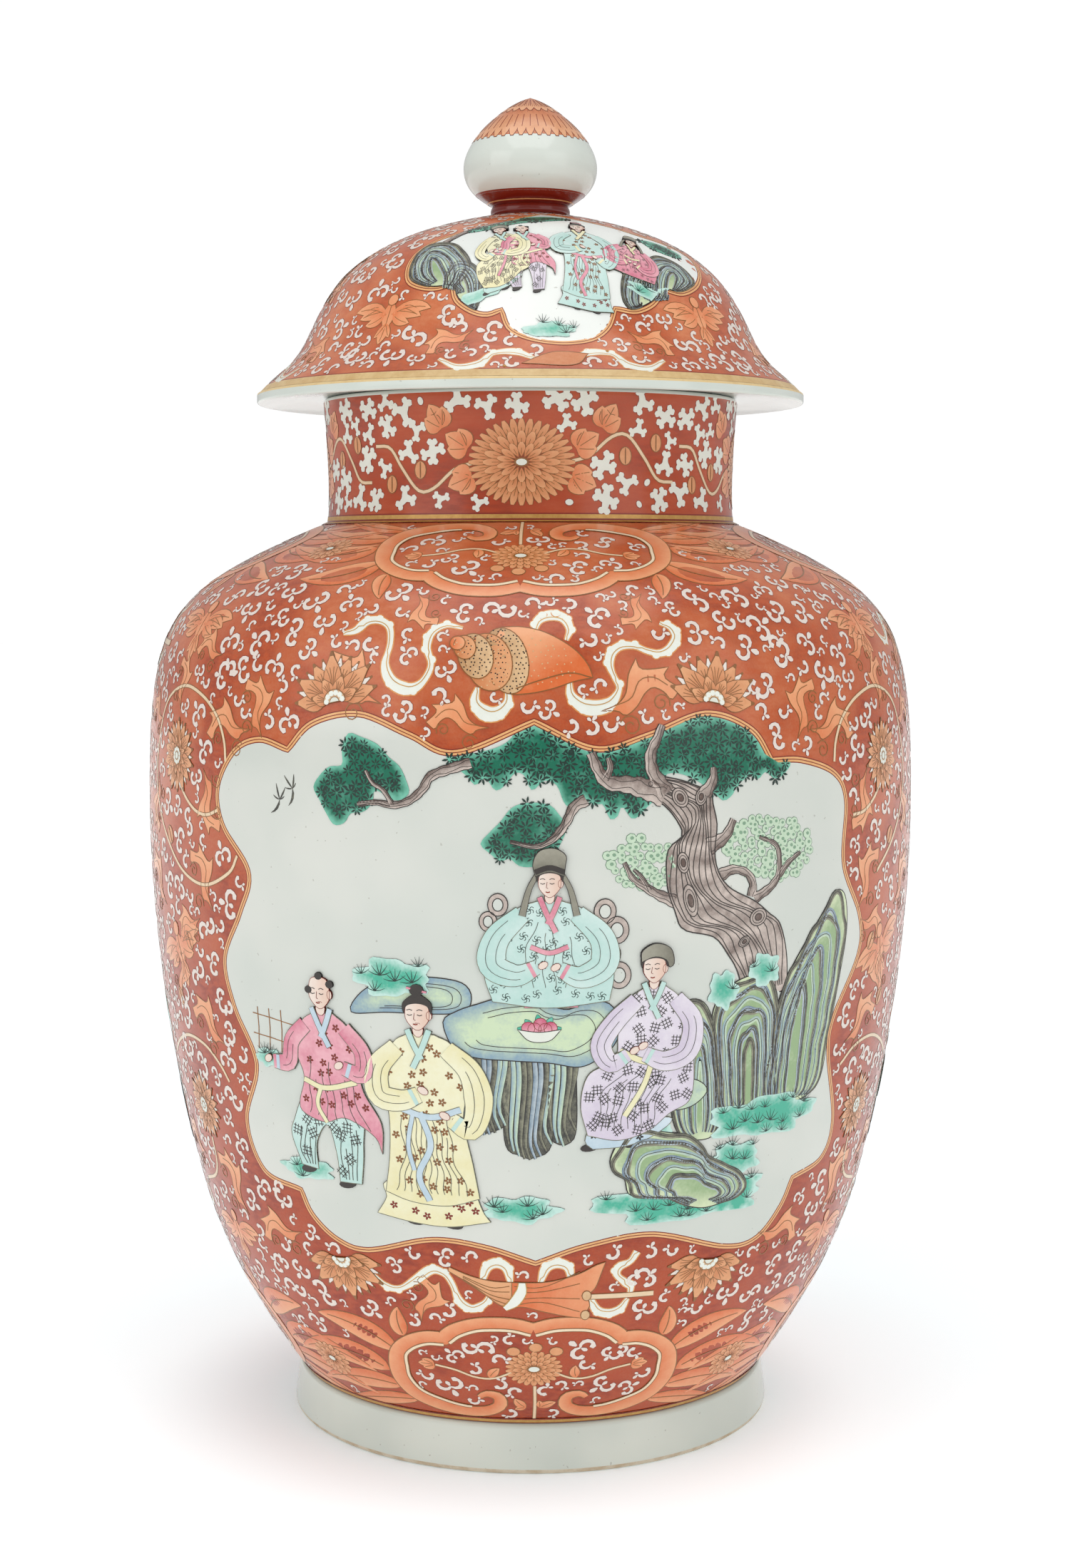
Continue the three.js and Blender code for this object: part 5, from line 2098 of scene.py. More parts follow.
@dataclass
class Jar:
    """The jar: a turned foot, the floor, the painted body and the neck."""

    foot_top_radius: float = 112.3
    foot_round: float = 2.4
    foot_inner_radius: float = 99.0
    floor_pocket: float = 103.3
    floor_gap: float = 0.3
    waist: Point = (110.5, 22.5)
    flank: Point = (155.0, 106.0)
    belly: Point = (180.3, 290.0)
    root: Point = (96.0, 422.5)
    neck_waist: Point = (95.0, 439.75)
    lip: Point = (97.4, 478.2)
    lip_round: float = 1.8
    body_wall: float = 7.0
    body_skin: float = 3.0
    neck_wall: float = 6.5
    neck_skin: float = 4.0
    bare_height: float = 2.6
    panel_height: float = 225.0
    side_height: float = 172.0
    stem_height: float = 250.0
    stem_angle: float = 60.0
    stem_margin: float = 1.2

    def __post_init__(self) -> None:
        """Draws the outer faces and starts the paintings on them."""
        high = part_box("foot_ring")[1]
        self.foot_radius, self.foot_top = high[0] / MM, high[2] / MM
        self.floor_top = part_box("base_floor")[1][2] / MM
        self.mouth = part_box("neck")[1][2] / MM
        self.outside = spaced(joined(
            bend(self.waist, self.flank, ((0.326, 0.222), (0.798, 0.641)), 60),
            bend(self.flank, self.belly, ((0.237, 0.109), (1, 0.538)), 60),
            bend(self.belly, self.root, ((0, 0.7), (0.12, 0.76)), 90),
        ), 2.8)
        self.neck_outside = joined(
            bend(self.root, self.neck_waist, ((0.6, 0.25), (1, 0.6)), 10),
            bend(self.neck_waist, self.lip, ((0, 0.35), (0.6, 0.7)), 14),
        )
        self.face = Outside(self.outside)
        self.neck_face = Outside(self.neck_outside)
        self.painting = Painting(self.face, "jar", "body")
        self.neck_painting = Painting(self.neck_face, "jar", "neck")

    def build(self) -> None:
        """Makes the jar's shells and paints them."""
        self.shells()
        self.paint_panels()
        self.paint_rims()
        self.paint_emblems()
        self.paint_flowers()
        self.strew_curls()
        self.painting.finish()
        self.paint_neck()
        self.neck_painting.finish()

    def shells(self) -> None:
        """Turns the four porcelain sections."""
        bottom = (self.foot_radius - self.foot_round, self.foot_round)
        top = (self.foot_top_radius - self.foot_round, self.foot_top - self.foot_round)
        inner = (self.foot_inner_radius + self.foot_round, self.foot_round)
        foot = np.vstack([
            quarter_round(bottom, self.foot_round, (-0.25, 0)),
            quarter_round(top, self.foot_round, (0, 0.25)),
            [(self.foot_inner_radius, self.foot_top)],
            quarter_round(inner, self.foot_round, (-0.5, -0.25)),
        ])
        Shell("foot", "jar", foot, ("foot_ring",), "white_glaze").make(
            (Finish.FOOT, Finish.BARE), lambda middle: middle[:, 2] < self.bare_height
        )
        radius = self.floor_pocket - self.floor_gap
        floor = np.array([(0, self.foot_top), (radius, self.foot_top), (radius, self.floor_top),
                          (0, self.floor_top)])
        Shell("floor", "jar", floor, ("base_floor",), "white_glaze").make((Finish.WHITE,))
        lining = inset(self.outside, self.body_wall)
        neck_inner = self.root[0] - self.neck_wall
        lining = lining[(lining[:, 1] > self.floor_top) & (lining[:, 0] > neck_inner)]
        body = np.vstack([
            [(self.floor_pocket, self.foot_top)], self.outside, [(neck_inner, self.root[1])],
            spaced(lining, 7.5)[::-1], [(self.floor_pocket, self.floor_top)],
        ])
        Shell("body", "jar", body, ("lower_body", "upper_body"), "coral_ground").make(
            (Finish.GROUND, Finish.WHITE), self.is_lining
        )
        lip = self.lip
        neck = np.vstack([
            self.neck_outside,
            quarter_round((lip[0] - self.lip_round, lip[1]), self.lip_round, (0, 0.25))[1:],
            quarter_round((lip[0] - self.neck_wall + self.lip_round, lip[1]), self.lip_round, (0.25, 0.5)),
            (self.neck_outside - [self.neck_wall, 0])[::-1][1:],
        ])
        Shell("neck", "jar", neck, ("neck",), "coral_ground").make(
            (Finish.NECK_GROUND, Finish.WHITE), self.is_lip
        )

    def is_lining(self, middle: Array) -> Array:
        """Tells which faces lie inside the body.

        Args:
            middle: The faces' middles.

        Returns:
            True for each of those faces.
        """
        radius = np.hypot(middle[:, 0], middle[:, 1])
        height = middle[:, 2]
        outer = np.interp(height, self.outside[:, 1], self.outside[:, 0])
        return (radius < outer - self.body_skin) | (height < self.foot_top + 0.01)

    def is_lip(self, middle: Array) -> Array:
        """Tells which faces lie inside the neck or on its bare white lip."""
        radius = np.hypot(middle[:, 0], middle[:, 1])
        lip_start = self.mouth - self.lip_round
        return (radius < self.root[0] - self.neck_skin) | (middle[:, 2] > lip_start)

    def paint_panels(self) -> None:
        """Lays the four white panels."""
        for angle, back in ((0, False), (180, True)):
            border = panel(self.painting.hand(angle, self.panel_height), MAIN_PANEL, back)
            large_garden(self.painting.hand(angle, self.panel_height, 1, False), back, border)
        for angle in (90, 270):
            border = panel(self.painting.hand(angle, self.side_height), SIDE_PANEL)
            small_garden(self.painting.hand(angle, self.side_height, 1, False), border)

    def paint_rims(self) -> None:
        """Draws the lappets of the shoulder and the base, and the gold lines at both rims."""
        top = self.face.arc[-1]
        for angle in (0, 90, 180, 270):
            Lappet().draw(Brush(self.painting, Chart(self.face, angle + 0.6, 0.0)))
            flipped = Chart(self.face, angle - 1.5, top, turned_by(180))
            Lappet().draw(Brush(self.painting, flipped))
            for arc in (28.0, top - 31):
                hand = Brush(self.painting, Chart(self.face, angle + 45, arc), 1)
                daisy(hand.on(0, 0, squash=0.9), 11, ((16, 0.4, 1.0), (10, 0.2, 0.66)), 2.0)
        for arc, width, pigment, layer in (
            (top - 1.6, 2.4, Finish.RED_LINE, 7), (top - 1.6, 1.2, Finish.GOLD, 8),
            (2.2, 3.4, Finish.RED_LINE, 7), (2.0, 2.0, Finish.GOLD, 8),
        ):
            self.painting.hoop(arc, width, pigment, layer)

    def paint_emblems(self) -> None:
        """Draws the ribboned emblems over and under each large panel, and the bats beside them."""
        hand = self.painting.hand
        for angle in (0, 180):
            shell_emblem(hand(angle - 1.2, 365))
            fan_emblem(hand(angle + 0.5, 95.5))
        for angle in (90, 270):
            fan_emblem(hand(angle, 372))
            shell_emblem(hand(angle, 104).on(0, 0, size=0.75))
        for angle in (60, 120, 240, 300):
            bat(hand(angle, 377))
            bat(hand(angle, 101).on(0, 0, size=0.85))
            bat(hand(angle + (2 if angle % 180 < 90 else -2), 232).on(0, 0, turn=20))

    def paint_flowers(self) -> None:
        """Draws the lotuses, their stems and the hooked leaves between the panels."""
        for front in (0, 180):
            for side in (False, True):
                sign = -1 if side else 1
                wide = side == (front == 180)
                for angle, height, turn in (
                    (27 if side else 25.3, 346.5, 12), (32 if side else 30, 104, 186),
                ):
                    hand = self.painting.hand(front + sign * angle, height, 1)
                    lotus(hand.on(0, 0, turn=-sign * turn, mirror=side), 22, True)
                self.side_stems(front, sign, wide)
                for angle, height, turn, size in (
                    (40, 344, -30, 0.8), (46.5, 336, 40, 0.9), (51, 300, 150, 0.85), (52, 268, -20, 0.9),
                    (58, 246, 60, 0.7), (54.5, 203, 10, 0.9), (62, 220, -60, 0.8), (55.5, 128, -20, 0.95),
                    (45, 112, 50, 0.85), (16, 384, 160, 0.6), (70, 296, 120, 0.8), (71, 338, 30, 0.7),
                    (60, 352, -40, 0.7), (70, 262, 0, 0.9), (71, 140, 20, 0.8), (54, 368, 30, 0.7),
                ):
                    angle += 3 if wide and 50 < angle < 56 else 0
                    hand = self.painting.hand(front + sign * angle, height)
                    spray(hand.on(0, 0, turn=-sign * turn, size=size * 1.12, mirror=side))
            for angle, height, turn, size, mirror in (
                (-24.5, 357, 10, 1.1, True), (-9.4, 341.5, 30, 0.85, True), (14.6, 352.5, -20, 1.15, False),
            ):
                hand = self.painting.hand(front + angle, height)
                spray(hand.on(0, 0, turn=turn, size=size, mirror=mirror))

    def side_stems(self, front: float, sign: int, wide: bool) -> None:
        """Draws the looped stems beside a panel, cut off where it reaches far, with a lotus in each loop.

        Args:
            front: The angle of the panel's middle.
            sign: 1 for the panel's right side, or -1.
            wide: Whether the panel reaches far on that side.
        """
        hand = self.painting.hand(front + sign * self.stem_angle, self.stem_height)
        for run in (
            ((-16, 279), (-14, 271), (-8, 264), (-1.5, 268), (4, 280), (8, 293.5), (10, 308), (8, 331),
             (5, 344), (-1, 350), (-7, 346), (-11, 338), (-13, 328), (-13.5, 319)),
            ((-1, 307), (-3, 301), (-6, 296), (-9, 295), (-12, 298)),
            ((-9, 176), (-7, 183), (-3, 190), (3, 191.5), (9, 186), (14, 178)),
            ((1, 145), (1.4, 133), (4, 125), (10, 120)),
        ):
            places = np.array(run, float)
            hidden = wide & inside(places + [self.stem_angle - self.stem_margin, 0], np.array(MAIN_PANEL))
            stem(hand, hand.chart.local(places[~hidden] * [sign, 1]))
        for x, height, radius in ((0, 319, 17), (sign * 4, 160, 16)):
            rise = float(self.face.arc_at(height) - self.face.arc_at(self.stem_height))
            lotus(hand.on(x, rise, up=1), radius)
        for angle, height in ((4, 209), (-2, 237), (3, 283)):
            bud = hand.on(*hand.chart.local([(angle * sign, height)])[0], turn=-sign * 30, up=1)
            bud.area(ellipse(0, 0, 3.2, 4.2, steps=14), Finish.PETAL, BROWN)
            bud.line(np.array([(0, -3.6), (0, 0), (0, 3.6)]), 0.5, BROWN, 3)

    def strew_curls(self) -> None:
        """Fills the ground with white scrolls."""
        strew_scrolls(Scatter(self.painting, 7, self.face.arc[-1] - 6, 3))

    def paint_neck(self) -> None:
        """Draws the neck's four flowers, its stems, leaves and buds, and the white jigsaw ground."""
        painting = self.neck_painting
        length = self.neck_face.arc[-1]
        for angle in (-2.2, 87.8, 177.8, 267.8):
            board = Chart(self.neck_face, angle, length * 0.45)
            hand = Brush(painting, board)
            for side in (-1, 1):
                path = np.array([(20, 0), (30, 3), (40, 11), (48, 12), (57, 2), (64, -7),
                                 (73, -8)]) * [side, side]
                stem(hand, path, 1.3)
                for x, y, turn in ((24, 6, -58), (22, -6, -112), (36, 15, -30)):
                    leafage(hand.on(side * x, y, up=1, turn=turn * side), ROUND_LEAVES)
                for x, y in ((47, 3), (63, 9)):
                    hand.area(ellipse(side * x, side * y, 3, 4, steps=14), Finish.PETAL, BROWN, 1)
                    hand.line(np.array([(side * x, side * y - 3.4), (side * x, side * y + 3.4)]), 0.5,
                              BROWN, 3)
            daisy(hand.on(0, 0, up=3, squash=0.8), 23.5, ((36, 0.5, 1.0), (20, 0.3, 0.72),
                                                          (14, 0.13, 0.46)), 2.4)
        painting.hoop(1.6, 3.0, Finish.RED_LINE, 0)
        painting.hoop(1.6, 1.8, Finish.GOLD, 1)
        scatter = Scatter(painting, 6, length - 3, 5)
        for arms, radius, size in (((4, 3, 4), 5.8, 1.06), ((3,), 4.4, 0.8), ((1,), 3.9, 1.1)):
            motifs, edges = ([jigsaw(rim, number) for number in arms] for rim in (0.0, 0.35))
            scatter.strew(motifs, edges, radius, 0.3, (Finish.RIBBON, Finish.SCROLL_EDGE), size)


def jigsaw(rim: float, arms: int) -> Patch:
    """Draws a white blob with short thick arms that each end in two lobes, or a lone lobe for one arm.

    Args:
        rim: How much wider than the white it is on each side.
        arms: The number of arms.

    Returns:
        The motif.
    """
    if arms == 1:
        return filled(ellipse(0, 0, 1.7 + rim, 1.3 + rim, steps=10), 0.2)
    parts = []
    for number in range(arms):
        turn = 360 * number / arms + 14 * (number % 2)
        reach = 4.3 - 0.5 * (number % 2)
        arm = np.array([(0, 0), (0.2, reach * 0.4), (0.1, reach * 0.75), (0, reach)])
        head = np.array([(-2.3, reach + 0.9), (-1.5, reach + 0.5), (-0.1, reach - 0.2), (1.4, reach + 0.5),
                         (2.2, reach + 1.0)])
        parts.append(brushed(placed(arm, turn), np.array([3.8, 3.0, 2.6, 2.8]) + 2 * rim, 0.2))
        parts.append(brushed(placed(head, turn), np.array([1.7, 2.7, 2.6, 2.7, 1.7]) + 2 * rim, 0.2))
    return merged(parts)


def strew_scrolls(scatter: Scatter) -> None:
    """Strews the large scrolls first and then ever smaller ones into the gaps.

    Args:
        scatter: What strews them.
    """
    large = (Curl.PAIR, Curl.PAIR, Curl.TRIPLE, Curl.PAIR, Curl.WAVE)
    for kinds, radius, gap, size in (
        (large, 6.8, 0.15, 1.03), ((Curl.PAIR,), 5.3, 0.1, 0.8), ((Curl.SINGLE,), 3.5, 0.15, 0.88),
        ((Curl.SINGLE,), 2.5, 0.1, 0.6),
    ):
        motifs, edges = ([kind.patch(rim) for kind in kinds] for rim in (0.0, 0.3))
        scatter.strew(motifs, edges, radius, gap, (Finish.SCROLL, Finish.SCROLL_EDGE), size)


def large_garden(brush: Brush, back: bool, border: Array) -> None:
    """Draws the garden of a large panel: pines on a gnarled trunk, rocks, a stone table, four figures.

    Args:
        brush: The hand, on the panel's board.
        back: Whether it is the back panel, which is mirrored.
        border: The panel's outline.
    """
    garden = Garden(brush.on(0, 0, mirror=back), border)
    plant_trees(garden)
    lay_terrace(garden)
    seat_company(garden)


def plant_trees(garden: Garden) -> None:
    """Draws the shrubs, the gnarled trunk and the pines of a large garden, and two birds.

    Args:
        garden: The garden.
    """
    garden.shrub((30, 65), (36, 61), (43, 69), (51, 64), (59, 63), (62, 52), (55, 46), (45, 45), (39, 48),
                 (33, 54))
    garden.shrub((88, 70), (98, 74), (110, 72), (122, 71), (130, 62), (129, 54), (122, 48), (112, 46),
                 (100, 49), (88, 52), (82, 60))
    for points, widths in (
        (((61, 40), (54, 43), (47, 47), (42, 51), (39, 57)), (5, 3.4, 2.4, 1.2)),
        (((50, 45), (46, 51), (43, 54)), (2, 1)),
        (((82, 50), (88, 52), (95, 50), (98, 45), (97, 40)), (5, 3, 3, 4)),
        (((99, 39), (107, 43), (111, 47), (117, 53), (124, 57)), (4, 3, 2.4, 1)),
        (((111, 46), (112, 54), (110, 61), (101, 65)), (2.4, 2, 1)),
        (((76, 62), (84, 66), (88, 73)), (7, 4.4, 2.4)),
    ):
        garden.branch(points, widths)
    garden.branch(((-24, 98), (-34, 95), (-41, 92), (-44, 87), (-50, 82), (-57, 80), (-64, 81), (-73, 80)),
                  (4, 3.6, 3, 2.2, 1.2), up=9)
    garden.pine((-77, 109), (-72, 108), (-64, 105), (-59, 100), (-54, 96), (-51, 90), (-50, 85), (-55, 82),
                (-60, 84), (-65, 86), (-66, 81), (-70, 77), (-76, 76), (-79, 72), (-84, 71), (-88, 76),
                (-91, 81), (-94, 86), (-91, 91), (-86, 95), (-80, 96), (-80, 103))
    for points in (((-57, 80), (-61, 86), (-66, 89), (-69, 94)), ((-72, 80), (-64, 81), (-58, 80))):
        garden.branch(points, (1.8, 1.4, 1), 1, 9)
    garden.trunk(
        ((95, -6), (91, 8), (86, 16), (79, 24), (65, 28), (61, 36), (58, 44), (57, 53), (58, 62), (64, 67),
         (62, 73), (56, 80), (47, 85), (42, 87)),
        ((118, -2), (117, 14), (113, 27), (107, 32), (99, 38), (87, 44), (81, 51), (79, 60), (80, 71),
         (78, 80), (77, 86), (72, 87), (64, 90), (50, 93)), 11,
        ((64.5, 56, 2.6, 4.4, 10), (68, 40, 3, 7, 14), (101, 31, 4.4, 3.6, 20), (72.5, 83, 2.6, 3.6, -10),
         (63, 83, 3.2, 4.4, 35), (50, 89, 2.2, 2.2, 0), (94, 21, 3, 2, 30)),
    )
    garden.pine((-34, 100), (-26, 93), (-22, 89), (-18, 92), (-14, 87), (-10, 89), (-6, 94), (-2, 93),
                (1, 87), (6, 91), (11, 89), (14, 82), (17, 80), (21, 84), (26, 81), (30, 81), (33, 75),
                (36, 76), (38, 80), (42, 75), (45, 76), (48, 79), (53, 84), (56, 92), (62, 93), (70, 90),
                (79, 84), (83, 81), (87, 83), (90, 87), (96, 91), (100, 89), (104, 92), (109, 89),
                (113, 90), (118, 95), (112, 99), (106, 112), (90, 122), (70, 122), (50, 114), (30, 106),
                (12, 108), (1, 116), (-10, 106), (-22, 102))
    for points, widths in (
        (((56, 84), (48, 87), (40, 89), (32, 90), (28, 95), (25, 102)), (9, 8, 6, 4.6, 3.4)),
        (((57, 85), (51, 94), (50, 101), (53, 108), (55, 113)), (7, 5, 4, 2.6)),
        (((74, 84), (78, 90), (78, 95)), (6, 4, 2)), (((31, 91), (33, 96), (32, 100)), (3, 1.6)),
        (((23, 83), (18, 80), (15, 74), (12, 70), (8, 66), (2, 64), (-8, 66)), (4.6, 3.4, 2.4, 1.6, 1)),
    ):
        garden.branch(points, widths, up=9)
    garden.pine((-20, 65), (-16, 70), (-12, 74), (-7, 80), (0, 82), (8, 81), (12, 77), (15, 72), (13, 66),
                (10, 61), (5, 60), (2, 56), (-4, 56), (-8, 59), (-12, 58), (-16, 61))
    garden.branch(((16, 77), (13, 70), (8, 66), (2, 64), (-8, 66)), (2.6, 2, 1.4, 1), 1, 9)
    garden.bird(-112, 80, 0)
    garden.bird(-105, 85, 24)


def lay_terrace(garden: Garden) -> None:
    """Draws the tall rocks of a large garden, its fence, its grass, the table and the bowl.

    Args:
        garden: The garden.
    """
    garden.grass(-58, 8, 17, 8)
    for points, focus, bands in (
        (((108, -52), (110, -24), (113, -8), (119, 5), (128, 17), (138, 28), (148, 38), (155, 35),
          (157, 20), (153, 0), (147, -24), (139, -50)), (122, -50), 9),
        (((84, -54), (80, -24), (79, -9), (84, 0), (93, 5), (101, 6), (108, 4), (113, -8), (113, -40),
          (112, -54), (98, -57)), (98, -54), 10),
        (((65, -62), (60, -46), (62, -22), (64, -6), (69, -2), (75, -4), (79, -12), (82, -28), (84, -50),
          (80, -64)), (74, -60), 7),
    ):
        garden.rock(points, focus, bands)
    slab = smooth(((55, -46), (57, -39), (64, -36), (73, -38), (77, -43), (70, -49), (60, -50)), True, 2)
    garden.brush.area(slab, Finish.SLAB, INK, 12, wash=0.2)
    for x in (-128, -121, -114):
        garden.brush.line(np.array([(x, -30), (x + 0.5, -20), (x, -11)]), 0.45, BROWN, 3, 0.1)
    for y in (-14, -23):
        garden.brush.line(np.array([(-131, y), (-120, y - 1), (-106, y - 3)]), 0.45, BROWN, 3, 0.1)
    for patch in ((-122, -33, 8, 4), (84, 1, 7, 8), (105, 8, 8, 7), (108, -58, 30, 9), (46, -58, 14, 6)):
        garden.grass(*patch)
    garden.table()
    garden.bowl(4, -14)


def seat_company(garden: Garden) -> None:
    """Draws the carved rings of the seat behind a large garden's table, its figures and the low rock.

    Args:
        garden: The garden.
    """
    for x, y, size in (
        (31, 37, 1), (36, 29, 1.1), (33, 19, 1), (37, 10, 1.1), (-13, 40, 0.9), (-17, 33, 0.8),
    ):
        garden.brush.area(ellipse(x, y, 4.6 * size, 5.2 * size), Finish.BARK, INK, 9, wash=0.2)
        garden.brush.area(ellipse(x, y, 2.4 * size, 2.9 * size), Finish.RESERVE, INK, 11)
    garden.person(Folk.SCHOLAR, 8, 2, 0.86)
    garden.person(Folk.PAGE, -84, -88, 0.98)
    garden.person(Folk.HOST, -42, -96, 0.98, True)
    garden.person(Folk.GUEST, 50, -62, 0.9)
    for patch in ((-102, -82, 14, 5), (-4, -93, 16, 6), (68, -92, 40, 10), (92, -76, 13, 8)):
        garden.grass(*patch)
    garden.rock(
        ((34, -70), (39, -61), (48, -58), (59, -60), (68, -62), (75, -67), (79, -73), (88, -78), (95, -82),
         (99, -89), (95, -94), (86, -96), (76, -97), (66, -94), (58, -90), (49, -89), (42, -87),
         (40, -80), (35, -76)),
        (76, -92), 9, 0.3, 0.25, 14)


def small_garden(brush: Brush, border: Array) -> None:
    """Draws the garden of a side panel: a rock, a pine branch and one figure.

    Args:
        brush: The hand, on the panel's board.
        border: The panel's outline.
    """
    garden = Garden(brush, border)
    garden.branch(((30, -18), (22, -2), (24, 12), (18, 26)), (5, 3.6, 2.4))
    garden.pine((-12, 28), (-4, 35), (8, 32), (18, 34), (28, 24), (22, 14), (12, 20), (0, 19))
    garden.rock(((14, -38), (15, -20), (21, -12), (29, -16), (34, -38)), (27, -34), 7)
    garden.person(Folk.HOST, -10, -38, 0.46)
    garden.grass(2, -37, 24, 5)


def cover_garden(brush: Brush, back: bool, border: Array) -> None:
    """Draws the garden of a cover panel: rocks at both ends, a pine branch and small figures.

    Args:
        brush: The hand, on the panel's board.
        back: Whether it is the back panel, which is mirrored.
        border: The panel's outline.
    """
    garden = Garden(brush.on(0, 0, mirror=back), border)
    garden.branch(((-66, 28), (-54, 36), (-40, 44), (-22, 50), (-8, 54)), (4, 3, 2))
    garden.pine((-36, 44), (-26, 52), (-12, 58), (4, 60), (12, 56), (2, 50), (-14, 46), (-26, 42))
    garden.pine((44, 44), (56, 50), (66, 50), (62, 42), (50, 38))
    for points, focus in (
        (((-72, 14), (-72, 32), (-62, 44), (-50, 42), (-42, 30), (-40, 12), (-56, 4)), (-56, 14)),
        (((-54, -4), (-54, 12), (-46, 20), (-38, 14), (-36, 2), (-44, -12)), (-45, 0)),
        (((46, 0), (44, 18), (52, 32), (64, 36), (74, 30), (76, 16), (60, 4)), (60, 12)),
        (((34, -8), (34, 8), (40, 18), (48, 16), (56, 2), (46, -12)), (44, -2)),
    ):
        garden.rock(points, focus)
    garden.grass(52, 2, 16, 4)
    garden.grass(-40, -4, 12, 3)
    aqua, yellow, lavender, pink = Finish.AQUA, Finish.YELLOW, Finish.LAVENDER, Finish.PINK
    for folk, x, y, size, mirror, dress in (
        (Folk.GUEST, -22, -3, 0.48, False, (yellow, aqua, pink, aqua)),
        (Folk.PAGE, -12, -9, 0.5, False, (pink, lavender, yellow, aqua)),
        (Folk.SCHOLAR, 38, 10, 0.42, False, (pink, aqua, yellow, yellow)),
        (Folk.HOST, 14, -14, 0.58, True, (aqua, aqua, pink, yellow)),
    ):
        garden.person(folk, x, y, size, mirror, dress)
    garden.grass(-6, -28, 14, 4)


@dataclass
class Cover:
    """The cover: a dome on a flared rim, the collar beneath, the stem and the bud knop."""

    rim_round: float = 1.2
    rim_thickness: float = 5.0
    rim_drop: float = 2.8
    flare_rise: float = 30.0
    flare_width: float = 24.8
    crown_radius: float = 19.5
    wall: float = 6.0
    skin: float = 2.5
    gold_height: float = 0.6
    ledge: Point = (84.0, 6.0)
    underside_radius: float = 111.35
    collar_wall: float = 5.0
    collar_bevel: float = 0.8
    vent_radius: float = 4.0
    stem_radius: float = 17.7
    stem_bead: float = 0.9
    bud_belly: float = 17.7
    bud_wall: float = 7.0
    petal_edge: float = 599.5
    red_edge: float = 575.0
    panel_height: float = 528.0

    def __post_init__(self) -> None:
        """Draws the outer faces and starts the paintings on them."""
        low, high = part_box("cover_dome")
        self.rim_radius = high[0] / MM
        self.seat = low[2] / MM + self.rim_drop
        self.crown = high[2] / MM
        self.stem_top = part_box("knop_bud")[0][2] / MM
        self.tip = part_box("knop_bud")[1][2] / MM
        self.bud_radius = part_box("knop_bud")[1][0] / MM
        rim_top = self.seat - self.rim_drop + self.rim_thickness
        start = (self.rim_radius - self.rim_round, rim_top)
        end = (self.rim_radius - self.flare_width, self.seat + self.flare_rise)
        self.dome = spaced(bend(end, (self.crown_radius, self.crown), ((0.155, 0.53), (0.352, 0.815)), 60),
                           2.2)
        self.outside = joined(spaced(bend(start, end, ((0.36, 0.34), (0.69, 0.41)), 30), 2.2), self.dome)
        self.face = Outside(self.outside)
        self.painting = Painting(self.face, "cover", "cover")
        self.bud = self.bud_line(self.stem_radius, 0.0, (16, 36))
        self.bud_painting = Painting(Outside(self.bud), "cover", "knop")

    def bud_line(self, foot: float, wall: float, steps: tuple[int, int]) -> Array:
        """Draws the bud's outer face, or its hollow a wall inside it.

        Args:
            foot: The radius where the line starts.
            wall: How far inside the outer face it lies.
            steps: The steps of its lower and upper curves.

        Returns:
            The line, from the stem to the tip.
        """
        belly = (self.bud_radius - wall, self.stem_top + self.bud_belly)
        return joined(
            bend((foot, self.stem_top + wall), belly, ((0.46, 0.21), (1, 0.44)), steps[0]),
            bend(belly, (0, self.tip - wall), ((0, 0.42), (0.65, 0.91)), steps[1]),
        )

    def build(self) -> None:
        """Makes the cover's shells and paints them."""
        self.shells()
        self.paint_dome()
        self.painting.finish()
        self.paint_bud()
        self.bud_painting.finish()

    def shells(self) -> None:
        """Turns the cover's four sections."""
        bottom = self.seat - self.rim_drop
        low = (self.rim_radius - self.rim_round, bottom + self.rim_round)
        high = (low[0], bottom + self.rim_thickness - self.rim_round)
        lining = inset(self.dome, self.wall)
        lining = lining[lining[:, 1] < self.crown - self.wall]
        corner = (self.ledge[0], self.seat + self.ledge[1])
        dome = np.vstack([
            [(self.ledge[0], self.seat), (self.underside_radius, self.seat)],
            quarter_round(low, self.rim_round, (-0.25, 0)),
            quarter_round(high, self.rim_round, (0, 0.25))[:-1],
            self.outside,
            [(self.vent_radius, self.crown), (self.vent_radius, self.crown - self.wall)],
            spaced(lining, 5)[::-1],
            bend(corner, lining[0], ((0.45, 0.05), (0.9, 0.3)), 8)[:-1][::-1],
        ])
        Shell("dome", "cover", dome, ("cover_dome",), "coral_ground").make(
            (Finish.GROUND, Finish.WHITE, Finish.RIM_GOLD), self.finish_number
        )
        low_corner, high_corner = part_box("cover_collar")
        outer = high_corner[0] / MM
        inner, base, bevel = outer - self.collar_wall, low_corner[2] / MM, self.collar_bevel
        collar = np.array([
            (inner + bevel, base), (outer - bevel, base), (outer, base + bevel), (outer, self.seat),
            (inner, self.seat), (inner, base + bevel),
        ])
        Shell("collar", "cover", collar, ("cover_collar",), "bare_biscuit").make((Finish.BARE,))
        middle = (self.crown + self.stem_top) / 2
        t = np.linspace(-1, 1, 9)
        bead = np.c_[self.stem_radius + self.stem_bead * (1 - t ** 2),
                     middle + t * (self.stem_top - self.crown) / 2]
        stem_outline = np.vstack([[(self.vent_radius, self.crown)], bead,
                                  [(self.vent_radius, self.stem_top)]])
        Shell("knop_neck", "cover", stem_outline, ("knop_stem",), "iron_red").make((Finish.BUD_RED,))
        hollow = self.bud_line(self.vent_radius, self.bud_wall, (8, 14))
        bud = np.vstack([hollow[::-1], [(self.vent_radius, self.stem_top)], self.bud])
        Shell("knop", "cover", bud, ("knop_bud",), "white_glaze").make(
            (Finish.WHITE, Finish.BUD_RED), lambda at: at[:, 2] < self.red_edge
        )

